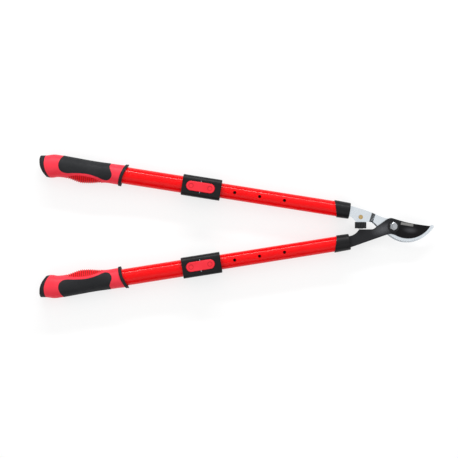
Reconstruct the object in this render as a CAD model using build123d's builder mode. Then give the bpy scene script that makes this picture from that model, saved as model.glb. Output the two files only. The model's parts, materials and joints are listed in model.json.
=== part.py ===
"""Telescopic bypass loppers: two telescoping tube handles and a forged bypass head.

Millimetres and degrees. The tool lies flat with its jaws shut. The origin is on the pivot
axis, in the flat back face of the pivot bolt's head. +X runs from the pivot to the jaw tips,
+Y to the upper handle and +Z out of the blade's side. The handles mirror each other about XZ,
so each handle piece is drawn once, for the upper handle, and mirrored for the lower one.
"""

import os
from math import cos, radians, sin

from build123d import *

FAR = 400.0  # longer than anything that a cutting shape has to pass through

# ---- head: how the two halves stack on the pivot bolt, from the back
bolt_head_height = 5.0
hook_thickness = 6.5
friction_washer_height = 0.6
blade_thickness = 5.0
shank_d = 10.0
shank_clearance = 0.05  # radial, between the shank and the blade's bore
thread_d = 8.0
bolt_head_d = 18.0
nut_flats = 13.0
nut_height = 6.0
nut_collar_height = 1.6
nut_collar_d = 12.0
washer_d = 21.0
washer_height = 1.5
washer_recess = 1.0  # depth of the blade's seat for the washer
washer_clearance = 0.5

hook_top = bolt_head_height + hook_thickness
blade_back = hook_top + friction_washer_height
blade_face = blade_back + blade_thickness
axis_height = (hook_top + blade_back) / 2  # both tubes' axes lie between blade and hook

# ---- head: outlines in plan
blade_length = 66.2  # pivot to the blade's tip
blade_depth = 22.0  # pivot to the lowest point of the cutting edge
edge_middle = 26.5  # how far out the lowest point of the edge is
edge_thickness = 0.7
grind_width = 20.0  # width of the hollow ground face, in from the edge
grind_start = 239.0  # the direction, seen from the edge's centre, where the grind begins
hook_reach = 72.7
hook_depth = 29.0
hook_middle = 24.5
hook_width = 12.5  # hook's width behind the middle of the edge
boss_r = 15.0
jaw_chamfer = 2.4

# ---- handles
handle_angle = 9.0  # each tube's slant from the X axis with the jaws shut
axis_offset = 15.0  # pivot to each tube's axis
inner_tube_d = 27.0
inner_tube_wall = 1.2
slide_gap = 0.5  # radial, between the two tubes
outer_tube_wall = 1.3
glide_gap = 0.3  # radial, between the nylon guides and what slides on them

outer_tube_bore = inner_tube_d + 2 * slide_gap
outer_tube_d = outer_tube_bore + 2 * outer_tube_wall
inner_r = inner_tube_d / 2
outer_r = outer_tube_d / 2

# Stations run along the tube's axis from the foot of the pivot's perpendicular, negative
# towards the grip. Distances on the grip run forward from the handle's end.
handle_reach = 644.0  # to the handle's end, fully extended
ferrule_front = -81.8
ferrule_length_outside = 29.5
ferrule_length_inside = 22.0
ferrule_wall_front = 0.9
ferrule_wall_rear = 1.7
ferrule_end_wall = 3.0
tang_depth = 44.0  # how far each tang runs into its tube, from the ferrule's front
upper_tang = (18.0, 6.8)  # width and thickness
lower_tang = (20.0, 8.0)
rivet_d = 5.0
rivet_setbacks = (9.0, 20.0)  # rivets behind the ferrule's front
rivet_recess = 0.35

outer_reach = 308.5  # the handle's end to the lock pin's hole
lock_station = outer_reach - handle_reach
hole_pitch = 45.0
hole_count = 4
hole_d = 5.6
inner_tube_overlap = 85.0  # inner tube behind its last hole
glide_flange = 7.0
glide_spigot = 16.0

sleeve_ahead = 20.0  # sleeve in front of the lock hole
sleeve_end_wall = 8.7  # sleeve past both ends of the rocker's slot, on average
sleeve_wall = 3.4
sleeve_crown = 6.0  # top of the sleeve above the outer tube
sleeve_corner_r = 9.0
sleeve_edge_r = 1.2
guide_length = 4.5
guide_lip = 1.0

rocker_length = 51.4
rocker_width = 17.2
rocker_gap = 0.6  # all round, between the rocker and its slot
rocker_proud = 1.2  # rocker's top above the sleeve
rocker_swing = (-6.0, 2.0)  # locked and fully pressed
pin_ahead = 17.0  # lock pin in front of the rocker's pivot
pin_d = 4.2
pin_head_d = 6.6
pin_head_height = 1.4
pin_cover = 0.9  # rocker over the pin's head
pin_lead = 0.3  # the pin leans back as it drops, so it stands this far ahead of its hole
pin_clear = 0.35  # nose above the inner tube with the rocker level
rocker_pin_d = 2.5
rocker_pin_length = 22.4
rocker_pin_height = 3.6  # above the outer tube
rocker_pin_gap = 0.05
dimple_d = 9.0
dimple_depth = 0.5
spring_behind = 15.0
spring_r = 2.5
spring_wire_d = 0.6
spring_turns = 4
spring_pocket_d = 7.0
screw_d = 3.5
screw_head_d = 7.0

# Grip: distance, then wall over the tube on the outer edge, the inner edge and each face.
grip_sections = (
    (160.0, 3.6, 3.6, 3.4),
    (144.0, 2.3, 3.0, 2.5),
    (124.0, 1.9, 2.9, 2.2),
    (99.0, 1.9, 6.6, 2.4),
    (77.0, 1.9, 10.1, 2.6),
    (52.0, 2.1, 6.0, 2.6),
    (36.0, 2.4, 6.4, 2.8),
    (23.0, 1.9, 8.8, 2.8),
    (10.0, -1.8, 9.8, 1.8),
    (-4.0, -4.3, 9.6, 0.2),
)
soft_depth = 1.3  # thickness of the soft inlay, and depth of the finger grooves
grip_nose = ((153.2, 20.5), (146.4, -1.0), (145.7, -21.0))  # grip's front edge in plan
grip_tail = ((9.2, 13.0), (9.6, -4.0), (23.5, -25.5))  # where the end cap starts
grip_end = ((1.4, 12.0), (0.4, -2.0), (17.5, -25.5))
inlay_start = (40.4, 15.0)
inlay_edge = (
    inlay_start,
    (36.0, -1.8),
    (48.5, -13.0),
    (72.0, -10.4),
    (98.0, -11.4),
    (120.5, -15.3),
    (132.0, -4.5),
    (125.7, 9.5),
    (128.0, 30.0),
)
collar_width = 4.5
collar_proud = 1.0
grip_tube_end = 32.0  # the outer tube's rear end
cap_stem_d = 18.0
cap_stem_length = 15.0
rib_count = 16
rib_pitch = 3.65
rib_groove = 1.7
rib_first = 55.0
rib_edge = ((48.0, -20.5), (78.0, -13.2), (117.0, -18.8))

# ---- bumper
bumper_x = -58.8
bumper_r = 10.4
bumper_seat = 7.7  # the tang's edge that the bumper stands on
bumper_pad = -5.4  # the blade arm's edge that it lands on
bumper_gap = 1.7
flute_count = 12
flute_r = 0.8
bumper_screw_d = 5.0
bumper_screw_head_d = 9.0
bumper_screw_head_height = 3.0
bumper_screw_proud = 0.5
barrel_nut_d = 8.0
barrel_nut_y = 16.6
tang_land = 8.0  # thickness of the hook's arm around the barrel nut


def handle_frame():
    """The upper handle's frame: x to the head, y outward, z up, origin beside the pivot."""
    slant = radians(handle_angle)
    return Plane(
        origin=(axis_offset * sin(slant), axis_offset * cos(slant), axis_height),
        x_dir=(cos(slant), -sin(slant), 0),
        z_dir=(0, 0, 1),
    )


HANDLE = handle_frame()


def across(station):
    """The plane across the handle at a station: x outward, y up, facing the head."""
    return Plane(
        origin=HANDLE.from_local_coords((station, 0, 0)),
        x_dir=HANDLE.y_dir,
        z_dir=HANDLE.x_dir,
    )


def level(height):
    """The plane at a height over the tube's axis: x to the head, y outward."""
    return HANDLE.offset(height)


def upright(side=0.0):
    """The standing plane along the handle: x to the head, y up, facing inward."""
    return Plane(
        origin=HANDLE.from_local_coords((0, side, 0)),
        x_dir=HANDLE.x_dir,
        z_dir=-HANDLE.y_dir,
    )


def from_end(distance):
    """The station at a distance forward of the handle's end."""
    return distance - handle_reach


def in_plan(points):
    """Points given as distances from the handle's end and offsets, in the handle's plan."""
    return [(from_end(distance), side) for distance, side in points]


def flat(height):
    """The level plane at a height over the origin."""
    return Plane.XY.offset(height)


def on_axis(station, side):
    """A point given in the handle's plan, in the model's own plan."""
    point = HANDLE.from_local_coords((station, side, 0))
    return (point.X, point.Y)


def mirror_y(point):
    """The same point on the lower handle's side."""
    return (point[0], -point[1])


# ---------------------------------------------------------------- handle pieces


def inner_tube():
    """Front tube, with the lock holes in its upper side and the tang's rivet holes."""
    rear = lock_station - inner_tube_overlap
    front = ferrule_front - ferrule_end_wall
    holes = [(lock_station + hole_pitch * n, 0) for n in range(hole_count)]
    rivets = [(ferrule_front - setback, 0) for setback in rivet_setbacks]
    with BuildPart() as piece:
        with BuildSketch(across(rear)):
            Circle(inner_r)
            Circle(inner_r - inner_tube_wall, mode=Mode.SUBTRACT)
        extrude(amount=front - rear)
        with BuildSketch(level(0)):
            with Locations(*holes):
                Circle(hole_d / 2)
        extrude(amount=inner_tube_d, mode=Mode.SUBTRACT)
        with BuildSketch(level(-inner_tube_d)):
            with Locations(*rivets):
                Circle(rivet_d / 2)
        extrude(amount=2 * inner_tube_d, mode=Mode.SUBTRACT)
    return piece


def outer_tube():
    """Rear tube, from inside the grip to inside the lock sleeve."""
    front = lock_station + sleeve_ahead - guide_length - guide_lip
    with BuildPart() as piece:
        with BuildSketch(across(from_end(grip_tube_end))):
            Circle(outer_r)
            Circle(outer_tube_bore / 2, mode=Mode.SUBTRACT)
        extrude(amount=front - from_end(grip_tube_end))
        with BuildSketch(level(0)):
            with Locations((lock_station, 0)):
                Circle(hole_d / 2)
        extrude(amount=outer_tube_d, mode=Mode.SUBTRACT)
        with BuildSketch(level(-outer_tube_d)):
            with Locations((screw_station, 0)):
                Circle(screw_d / 2)
        extrude(amount=outer_tube_d, mode=Mode.SUBTRACT)
    return piece


def glide_plug():
    """Nylon plug in the inner tube's rear end, which runs in the outer tube."""
    rear = lock_station - inner_tube_overlap
    with BuildPart() as piece:
        with BuildSketch(across(rear - glide_flange)):
            Circle(outer_tube_bore / 2 - glide_gap)
        extrude(amount=glide_flange)
        with BuildSketch(across(rear)):
            Circle(inner_r - inner_tube_wall)
        extrude(amount=glide_spigot)
        with BuildSketch(across(rear - glide_flange)):
            Circle(inner_r - 2 * inner_tube_wall)
        extrude(amount=glide_flange + glide_spigot, mode=Mode.SUBTRACT)
        chamfer(piece.edges().filter_by(GeomType.CIRCLE).group_by(Axis(HANDLE.origin, HANDLE.x_dir))[0], 0.6)
    return piece


def tang_plug(tang):
    """Filler that holds a flat tang in the round tube."""
    width, thickness = tang
    front = ferrule_front - ferrule_end_wall
    rear = ferrule_front - tang_depth
    rivets = [(ferrule_front - setback, 0) for setback in rivet_setbacks]
    with BuildPart() as piece:
        with BuildSketch(across(rear)):
            Circle(inner_r - inner_tube_wall)
            Rectangle(width, thickness, mode=Mode.SUBTRACT)
        extrude(amount=front - rear)
        with BuildSketch(level(-inner_tube_d)):
            with Locations(*rivets):
                Circle(rivet_d / 2)
        extrude(amount=2 * inner_tube_d, mode=Mode.SUBTRACT)
    return piece


def tang_rivets():
    """The two rivets through tube, plug and tang, flush under the ferrule."""
    rivets = [(ferrule_front - setback, 0) for setback in rivet_setbacks]
    half = inner_r - rivet_recess
    with BuildPart() as piece:
        with BuildSketch(level(-half)):
            with Locations(*rivets):
                Circle(rivet_d / 2)
        extrude(amount=2 * half)
    return piece


def ferrule(tang):
    """Moulded cap over the tube's front end, longer on its outer side, with the tang's slot."""
    width, thickness = tang
    rear = ferrule_front - ferrule_length_outside
    slope_end = ferrule_front - ferrule_length_inside
    with BuildPart() as piece:
        with BuildSketch(across(rear)):
            Circle(inner_r + ferrule_wall_rear)
        with BuildSketch(across(ferrule_front)):
            Circle(inner_r + ferrule_wall_front)
        loft()
        fillet(piece.edges().sort_by(Axis(HANDLE.origin, HANDLE.x_dir))[-1], 1.4)
        with BuildSketch(across(rear)):
            Circle(inner_r)
        extrude(amount=ferrule_length_outside - ferrule_end_wall, mode=Mode.SUBTRACT)
        with BuildSketch(across(rear)):
            Rectangle(width, thickness)
        extrude(amount=ferrule_length_outside, mode=Mode.SUBTRACT)
        with BuildSketch(level(-FAR / 2)):
            with BuildLine():
                Polyline(
                    (rear, inner_r),
                    (slope_end, -inner_r),
                    (slope_end, -FAR / 4),
                    (rear - FAR / 4, -FAR / 4),
                    (rear - FAR / 4, inner_r),
                    close=True,
                )
            make_face()
        extrude(amount=FAR, mode=Mode.SUBTRACT)
    return piece


# ---------------------------------------------------------------- extension lock

sleeve_length = rocker_length + 2 * rocker_gap + 2 * sleeve_end_wall
sleeve_front = lock_station + sleeve_ahead
sleeve_rear = sleeve_front - sleeve_length
sleeve_top = outer_r + sleeve_crown
sleeve_bottom = -(outer_r + sleeve_wall)
rocker_station = lock_station + pin_lead - pin_ahead  # the rocker's pivot
rocker_axis = outer_r + rocker_pin_height
rocker_top = sleeve_top + rocker_proud
pin_top = rocker_top - dimple_depth - pin_cover
spring_station = rocker_station - spring_behind
spring_height = rocker_top - 2.0 - outer_r  # from the tube to the pocket's roof
screw_station = sleeve_rear + 12.0


def lock_sleeve():
    """Moulded sleeve on the outer tube's front end, with the rocker's slot in its flat top."""
    slot = (rocker_length + 2 * rocker_gap, rocker_width + 2 * rocker_gap)
    with BuildPart() as piece:
        with BuildSketch(across(sleeve_rear)):
            with Locations((0, (sleeve_top + sleeve_bottom) / 2)):
                RectangleRounded(
                    2 * (outer_r + sleeve_wall), sleeve_top - sleeve_bottom, sleeve_corner_r
                )
        extrude(amount=sleeve_length)
        ends = piece.faces().filter_by(Plane(origin=(0, 0, 0), z_dir=HANDLE.x_dir))
        fillet(ends.edges(), sleeve_edge_r)
        with BuildSketch(across(sleeve_rear)):
            Circle(outer_r)
        extrude(amount=sleeve_length - guide_lip, mode=Mode.SUBTRACT)
        with BuildSketch(across(sleeve_rear)):
            Circle(inner_r + 3 * glide_gap)
        extrude(amount=sleeve_length, mode=Mode.SUBTRACT)
        with BuildSketch(level(outer_r - 4)):
            with Locations((rocker_station, 0)):
                SlotOverall(*slot)
        extrude(amount=FAR, mode=Mode.SUBTRACT)
        with BuildSketch(level(rocker_axis)):
            with Locations((rocker_station, 0)):
                Rectangle(rocker_pin_d, rocker_pin_length)
        extrude(amount=FAR, mode=Mode.SUBTRACT)
        with BuildSketch(upright(-rocker_pin_length / 2)):
            with Locations((rocker_station, rocker_axis)):
                Circle(rocker_pin_d / 2)
        extrude(amount=-rocker_pin_length, mode=Mode.SUBTRACT)
        with BuildSketch(level(sleeve_bottom)):
            with Locations((screw_station, 0)):
                Circle(screw_head_d / 2)
        with BuildSketch(level(sleeve_bottom + (screw_head_d - screw_d) / 2)):
            with Locations((screw_station, 0)):
                Circle(screw_d / 2)
        loft(mode=Mode.SUBTRACT)
        with BuildSketch(level(sleeve_bottom)):
            with Locations((screw_station, 0)):
                Circle(screw_d / 2)
        extrude(amount=sleeve_wall + 1, mode=Mode.SUBTRACT)
    return piece


def guide_bush():
    """Nylon ring between the sleeve and the inner tube, behind the sleeve's lip."""
    front = sleeve_front - guide_lip
    with BuildPart() as piece:
        with BuildSketch(across(front - guide_length)):
            Circle(outer_r)
            Circle(inner_r + glide_gap, mode=Mode.SUBTRACT)
        extrude(amount=guide_length)
    return piece


def sleeve_screw():
    """Countersunk screw that pins the sleeve to the outer tube from below."""
    head_height = (screw_head_d - screw_d) / 2
    tip = -outer_tube_bore / 2
    with BuildPart() as piece:
        with BuildSketch(level(sleeve_bottom)):
            with Locations((screw_station, 0)):
                Circle(screw_head_d / 2)
        with BuildSketch(level(sleeve_bottom + head_height)):
            with Locations((screw_station, 0)):
                Circle(screw_d / 2)
        loft()
        with BuildSketch(level(sleeve_bottom)):
            with Locations((screw_station, 0)):
                Circle(screw_d / 2)
        extrude(amount=tip - sleeve_bottom)
        with BuildSketch(level(sleeve_bottom)):
            with Locations((screw_station, 0)):
                Rectangle(0.8, 4.4)
                Rectangle(4.4, 0.8)
        extrude(amount=1.2, mode=Mode.SUBTRACT)
    return piece


def lock_rocker():
    """Button that rocks on its pin: its front carries the lock pin, its rear is pressed."""
    reach = rocker_length / 2
    down, up = (sin(radians(abs(angle))) for angle in rocker_swing)
    middle = outer_r + 0.8
    front_underside = outer_r + reach * down + 0.5
    rear_underside = outer_r + reach * up + 0.8
    with BuildPart() as piece:
        with BuildSketch(level(outer_r)):
            with Locations((rocker_station, 0)):
                SlotOverall(rocker_length, rocker_width)
        extrude(amount=rocker_top - outer_r)
        with BuildSketch(upright(-FAR / 2)):
            with BuildLine():
                Polyline(
                    (rocker_station - reach - 1, rear_underside),
                    (rocker_station - 4, middle),
                    (rocker_station + 4, middle),
                    (rocker_station + reach + 1, front_underside),
                    (rocker_station + reach + 1, rocker_top),
                    (rocker_station - reach - 1, rocker_top),
                    close=True,
                )
            make_face()
        extrude(amount=-FAR, mode=Mode.INTERSECT)
        fillet(piece.faces().sort_by(Axis.Z)[-1].edges(), 1.1)
        with BuildSketch(level(rocker_top - dimple_depth)):
            with Locations((rocker_station - pin_ahead, 0), (rocker_station + pin_ahead, 0)):
                Circle(dimple_d / 2)
        extrude(amount=dimple_depth, mode=Mode.SUBTRACT)
        with BuildSketch(upright(-rocker_width)):
            with Locations((rocker_station, rocker_axis)):
                Circle(rocker_pin_d / 2 + rocker_pin_gap)
        extrude(amount=-2 * rocker_width, mode=Mode.SUBTRACT)
        with BuildSketch(level(outer_r - 1)):
            with Locations((rocker_station + pin_ahead, 0)):
                Circle(pin_d / 2)
        extrude(amount=pin_top - outer_r + 1, mode=Mode.SUBTRACT)
        with BuildSketch(level(pin_top - pin_head_height)):
            with Locations((rocker_station + pin_ahead, 0)):
                Circle(pin_head_d / 2)
        extrude(amount=pin_head_height, mode=Mode.SUBTRACT)
        with BuildSketch(level(outer_r - 1)):
            with Locations((spring_station, 0)):
                Circle(spring_pocket_d / 2)
        extrude(amount=spring_height + 1, mode=Mode.SUBTRACT)
    return piece


def rocker_pin():
    """Steel pin that the rocker turns on, held in the sleeve's two notches."""
    with BuildPart() as piece:
        with BuildSketch(upright(-rocker_pin_length / 2)):
            with Locations((rocker_station, rocker_axis)):
                Circle(rocker_pin_d / 2)
        extrude(amount=-rocker_pin_length)
    return piece


def lock_pin():
    """Headed pin moulded into the rocker's front: its nose drops into the tube's hole."""
    nose = inner_r + pin_clear
    with BuildPart() as piece:
        with BuildSketch(level(nose)):
            with Locations((rocker_station + pin_ahead, 0)):
                Circle(pin_d / 2)
        extrude(amount=pin_top - nose)
        chamfer(piece.edges().group_by(Axis.Z)[0], 0.5)
        with BuildSketch(level(pin_top - pin_head_height)):
            with Locations((rocker_station + pin_ahead, 0)):
                Circle(pin_head_d / 2)
        extrude(amount=pin_head_height)
    return piece


def lock_spring():
    """Coil spring under the rocker's rear, standing on the outer tube."""
    foot = outer_r + spring_wire_d / 2 + 0.05
    rise = spring_height - spring_wire_d - 0.1
    stand = HANDLE.from_local_coords((spring_station, 0, foot))
    with BuildPart() as piece:
        with BuildLine(Plane(origin=stand, x_dir=HANDLE.x_dir, z_dir=(0, 0, 1))):
            coil = Helix(pitch=rise / spring_turns, height=rise, radius=spring_r)
        with BuildSketch(Plane(origin=coil @ 0, z_dir=coil % 0)):
            Circle(spring_wire_d / 2)
        sweep(path=coil, is_frenet=True)
    return piece


# ---------------------------------------------------------------- grip


def grip_form(shrink=0.0):
    """The grip's whole outer form, or the same form smaller all round."""
    with BuildPart() as form:
        for distance, outside, inside, face in grip_sections:
            with BuildSketch(across(from_end(distance))):
                with Locations(((outside - inside) / 2, 0)):
                    Ellipse(outer_r + (outside + inside) / 2 - shrink, outer_r + face - shrink)
        loft()
    return form


def slab(curve, ahead, shift=0.0):
    """Everything ahead of, or behind, an arc drawn in plan from the outer side to the inner."""
    far = FAR if ahead else -FAR
    wide = FAR / 4
    outer, middle, inner = [(station + shift, side) for station, side in in_plan(curve)]
    with BuildPart() as solid:
        with BuildSketch(level(-wide)):
            with BuildLine():
                ThreePointArc(outer, middle, inner)
                Polyline(
                    inner,
                    (inner[0], -wide),
                    (inner[0] + far, -wide),
                    (outer[0] + far, wide),
                    (outer[0], wide),
                    outer,
                )
            make_face()
        extrude(amount=2 * wide)
    return solid


def bore(radius, rear, front):
    """A round rod on the tube's axis."""
    with BuildPart() as rod:
        with BuildSketch(across(rear)):
            Circle(radius)
        extrude(amount=front - rear)
    return rod


def grip_inlay(form, core):
    """Soft black moulding that wraps the outer side of the grip."""
    with BuildPart() as piece:
        add(form.part)
        with BuildSketch(level(-FAR / 4)):
            with BuildLine():
                outline = Spline(*in_plan(inlay_edge))
                corner = (from_end(inlay_start[0]), inlay_edge[-1][1])
                Polyline(outline @ 1, corner, outline @ 0)
            make_face()
        extrude(amount=FAR / 2, mode=Mode.INTERSECT)
        add(core.part, mode=Mode.SUBTRACT)
    return piece


def finger_grooves(form, core):
    """The grooves across the finger swell on the grip's inner side."""
    with BuildPart() as grooves:
        for n in range(rib_count):
            with BuildSketch(across(from_end(rib_first + n * rib_pitch))):
                Rectangle(FAR / 4, FAR / 4)
            extrude(amount=rib_groove)
        with BuildSketch(level(-FAR / 4)):
            with BuildLine():
                rear, middle, front = in_plan(rib_edge)
                ThreePointArc(rear, middle, front)
                Polyline(front, (front[0], -FAR / 4), (rear[0], -FAR / 4), rear)
            make_face()
        extrude(amount=FAR / 2, mode=Mode.INTERSECT)
        add(form.part, mode=Mode.INTERSECT)
        add(core.part, mode=Mode.SUBTRACT)
    return grooves


def grip_body(form, core, inlay):
    """Hard red moulding over the tube's rear end."""
    nose = slab(grip_nose, ahead=True)
    tail = slab(grip_tail, ahead=False)
    grooves = finger_grooves(form, core)
    tube = bore(outer_r, from_end(grip_tube_end), 0)
    stem = bore(cap_stem_d / 2, from_end(-FAR), 0)
    with BuildPart() as piece:
        add(form.part)
        add([cut.part for cut in (nose, tail, inlay, grooves, tube, stem)], mode=Mode.SUBTRACT)
    return piece


def grip_collar():
    """Black bead around the grip's front edge."""
    bead = grip_form(shrink=-collar_proud)
    behind = slab(grip_nose, ahead=False)
    before = slab(grip_nose, ahead=True, shift=collar_width)
    tube = bore(outer_r, from_end(-FAR), 0)
    with BuildPart() as piece:
        add(bead.part)
        add([cut.part for cut in (behind, before, tube)], mode=Mode.SUBTRACT)
    return piece


def grip_end_cap(form):
    """Black end cap, held by its stem in the grip."""
    tail = slab(grip_tail, ahead=True)
    end = slab(grip_end, ahead=False)
    stem_start = from_end(grip_tail[1][0])
    with BuildPart() as piece:
        add(form.part)
        add([cut.part for cut in (tail, end)], mode=Mode.SUBTRACT)
        with BuildSketch(across(stem_start - 2)):
            Circle(cap_stem_d / 2)
        extrude(amount=cap_stem_length + 2)
    return piece


# ---------------------------------------------------------------- head


def edge_circle(reach, depth, middle, tip_height):
    """Centre height and radius of the arc with its lowest point at middle, through the tip."""
    run = reach - middle
    rise = tip_height + depth
    radius = (run**2 + rise**2) / (2 * rise)
    return radius - depth, radius


def blade():
    """Forged blade and its arm: a flat boss, a hollow ground face and a thicker rear arm."""
    tip = (blade_length, 0.4)
    centre_y, edge_r = edge_circle(blade_length, blade_depth, edge_middle, tip[1])
    width = lower_tang[0]
    rear = ferrule_front - tang_depth
    arm_top = mirror_y(on_axis(ferrule_front + 1.5, -width / 2))
    arm_bottom = mirror_y(on_axis(ferrule_front + 1.5, width / 2))
    ledge_front = bumper_x + 19.0
    ledge_rear = bumper_x - 2.6
    with BuildPart() as piece:
        with BuildSketch(flat(0)) as outline:
            with BuildLine():
                dip = Spline(
                    arm_top,
                    (ledge_rear - 7.4, bumper_pad - 8.2),
                    (ledge_rear, bumper_pad),
                )
                Line(dip @ 1, (ledge_front, bumper_pad))
                rise = Spline(
                    (ledge_front, bumper_pad),
                    (-31.5, -1.6),
                    (-18.9, 7.2),
                    (-9.5, 13.6),
                    (-1.3, 14.4),
                    tangents=((1, 0), (1, -0.3)),
                )
                spine = Spline(
                    rise @ 1,
                    (19.1, 8.3),
                    (42.0, 3.7),
                    tip,
                    tangents=((1, -0.3), (1, -0.13)),
                )
                edge = ThreePointArc(
                    spine @ 1,
                    (edge_middle + edge_r * sin(radians(20)), centre_y - edge_r * cos(radians(20))),
                    (edge_middle - edge_r * sin(radians(22)), centre_y - edge_r * cos(radians(22))),
                )
                throat = Spline(
                    edge @ 1,
                    (0.0, -14.6),
                    (-6.0, -13.8),
                    (-14.0, -15.6),
                    tangents=(edge % 1, (-1, -0.36)),
                )
                Line(throat @ 1, arm_bottom)
                Line(arm_bottom, arm_top)
            make_face()
        extrude(amount=FAR / 4)
        tang_sketch_plane = HANDLE.offset(-FAR / 4)
        with BuildSketch(tang_sketch_plane) as tongue:
            with Locations(((rear + ferrule_front + 2) / 2, 0)):
                Rectangle(ferrule_front + 2 - rear, width)
        upper_tongue = extrude(amount=FAR / 2, mode=Mode.PRIVATE)
        mirror(upper_tongue, about=Plane.XZ)
        arm_slant = radians(19.8)
        side_plane = Plane(
            origin=(0, 0, 0),
            x_dir=(cos(arm_slant), sin(arm_slant), 0),
            z_dir=(sin(arm_slant), -cos(arm_slant), 0),
        )
        half = lower_tang[1] / 2
        with BuildSketch(side_plane.offset(-FAR / 2)):
            with BuildLine():
                Polyline(
                    (-FAR, axis_height - half),
                    (-42.5, axis_height - half),
                    (-35.5, blade_back),
                    (FAR, blade_back),
                    (FAR, blade_face),
                    (-35.5, blade_face),
                    (-42.5, axis_height + half),
                    (-FAR, axis_height + half),
                    close=True,
                )
            make_face()
        extrude(amount=FAR, mode=Mode.INTERSECT)
        grind_plane = Plane(
            origin=(edge_middle, centre_y, 0),
            x_dir=(cos(radians(grind_start)), sin(radians(grind_start)), 0),
            z_dir=(sin(radians(grind_start)), -cos(radians(grind_start)), 0),
        )
        with BuildSketch(grind_plane):
            with BuildLine():
                ThreePointArc(
                    (edge_r - grind_width, blade_face),
                    (edge_r - grind_width * 0.55, blade_face - blade_thickness * 0.45),
                    (edge_r + 0.01, blade_back + edge_thickness),
                )
                Polyline(
                    (edge_r + 0.01, blade_back + edge_thickness),
                    (edge_r + 30, blade_back + edge_thickness),
                    (edge_r + 30, blade_face + 10),
                    (edge_r - grind_width, blade_face + 10),
                    (edge_r - grind_width, blade_face),
                )
            make_face()
        revolve(
            axis=Axis((edge_middle, centre_y, 0), (0, 0, 1)),
            revolution_arc=130,
            mode=Mode.SUBTRACT,
        )
        with BuildSketch(flat(0)):
            Circle(shank_d / 2 + shank_clearance)
        extrude(amount=FAR, mode=Mode.SUBTRACT)
        with BuildSketch(flat(blade_face - washer_recess)):
            Circle(washer_d / 2 + washer_clearance)
        extrude(amount=FAR, mode=Mode.SUBTRACT)
        rivets = [
            mirror_y(on_axis(ferrule_front - setback, 0)) for setback in rivet_setbacks
        ]
        with BuildSketch(flat(0)):
            with Locations(*rivets):
                Circle(rivet_d / 2)
        extrude(amount=FAR, mode=Mode.SUBTRACT)
    return piece


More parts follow.
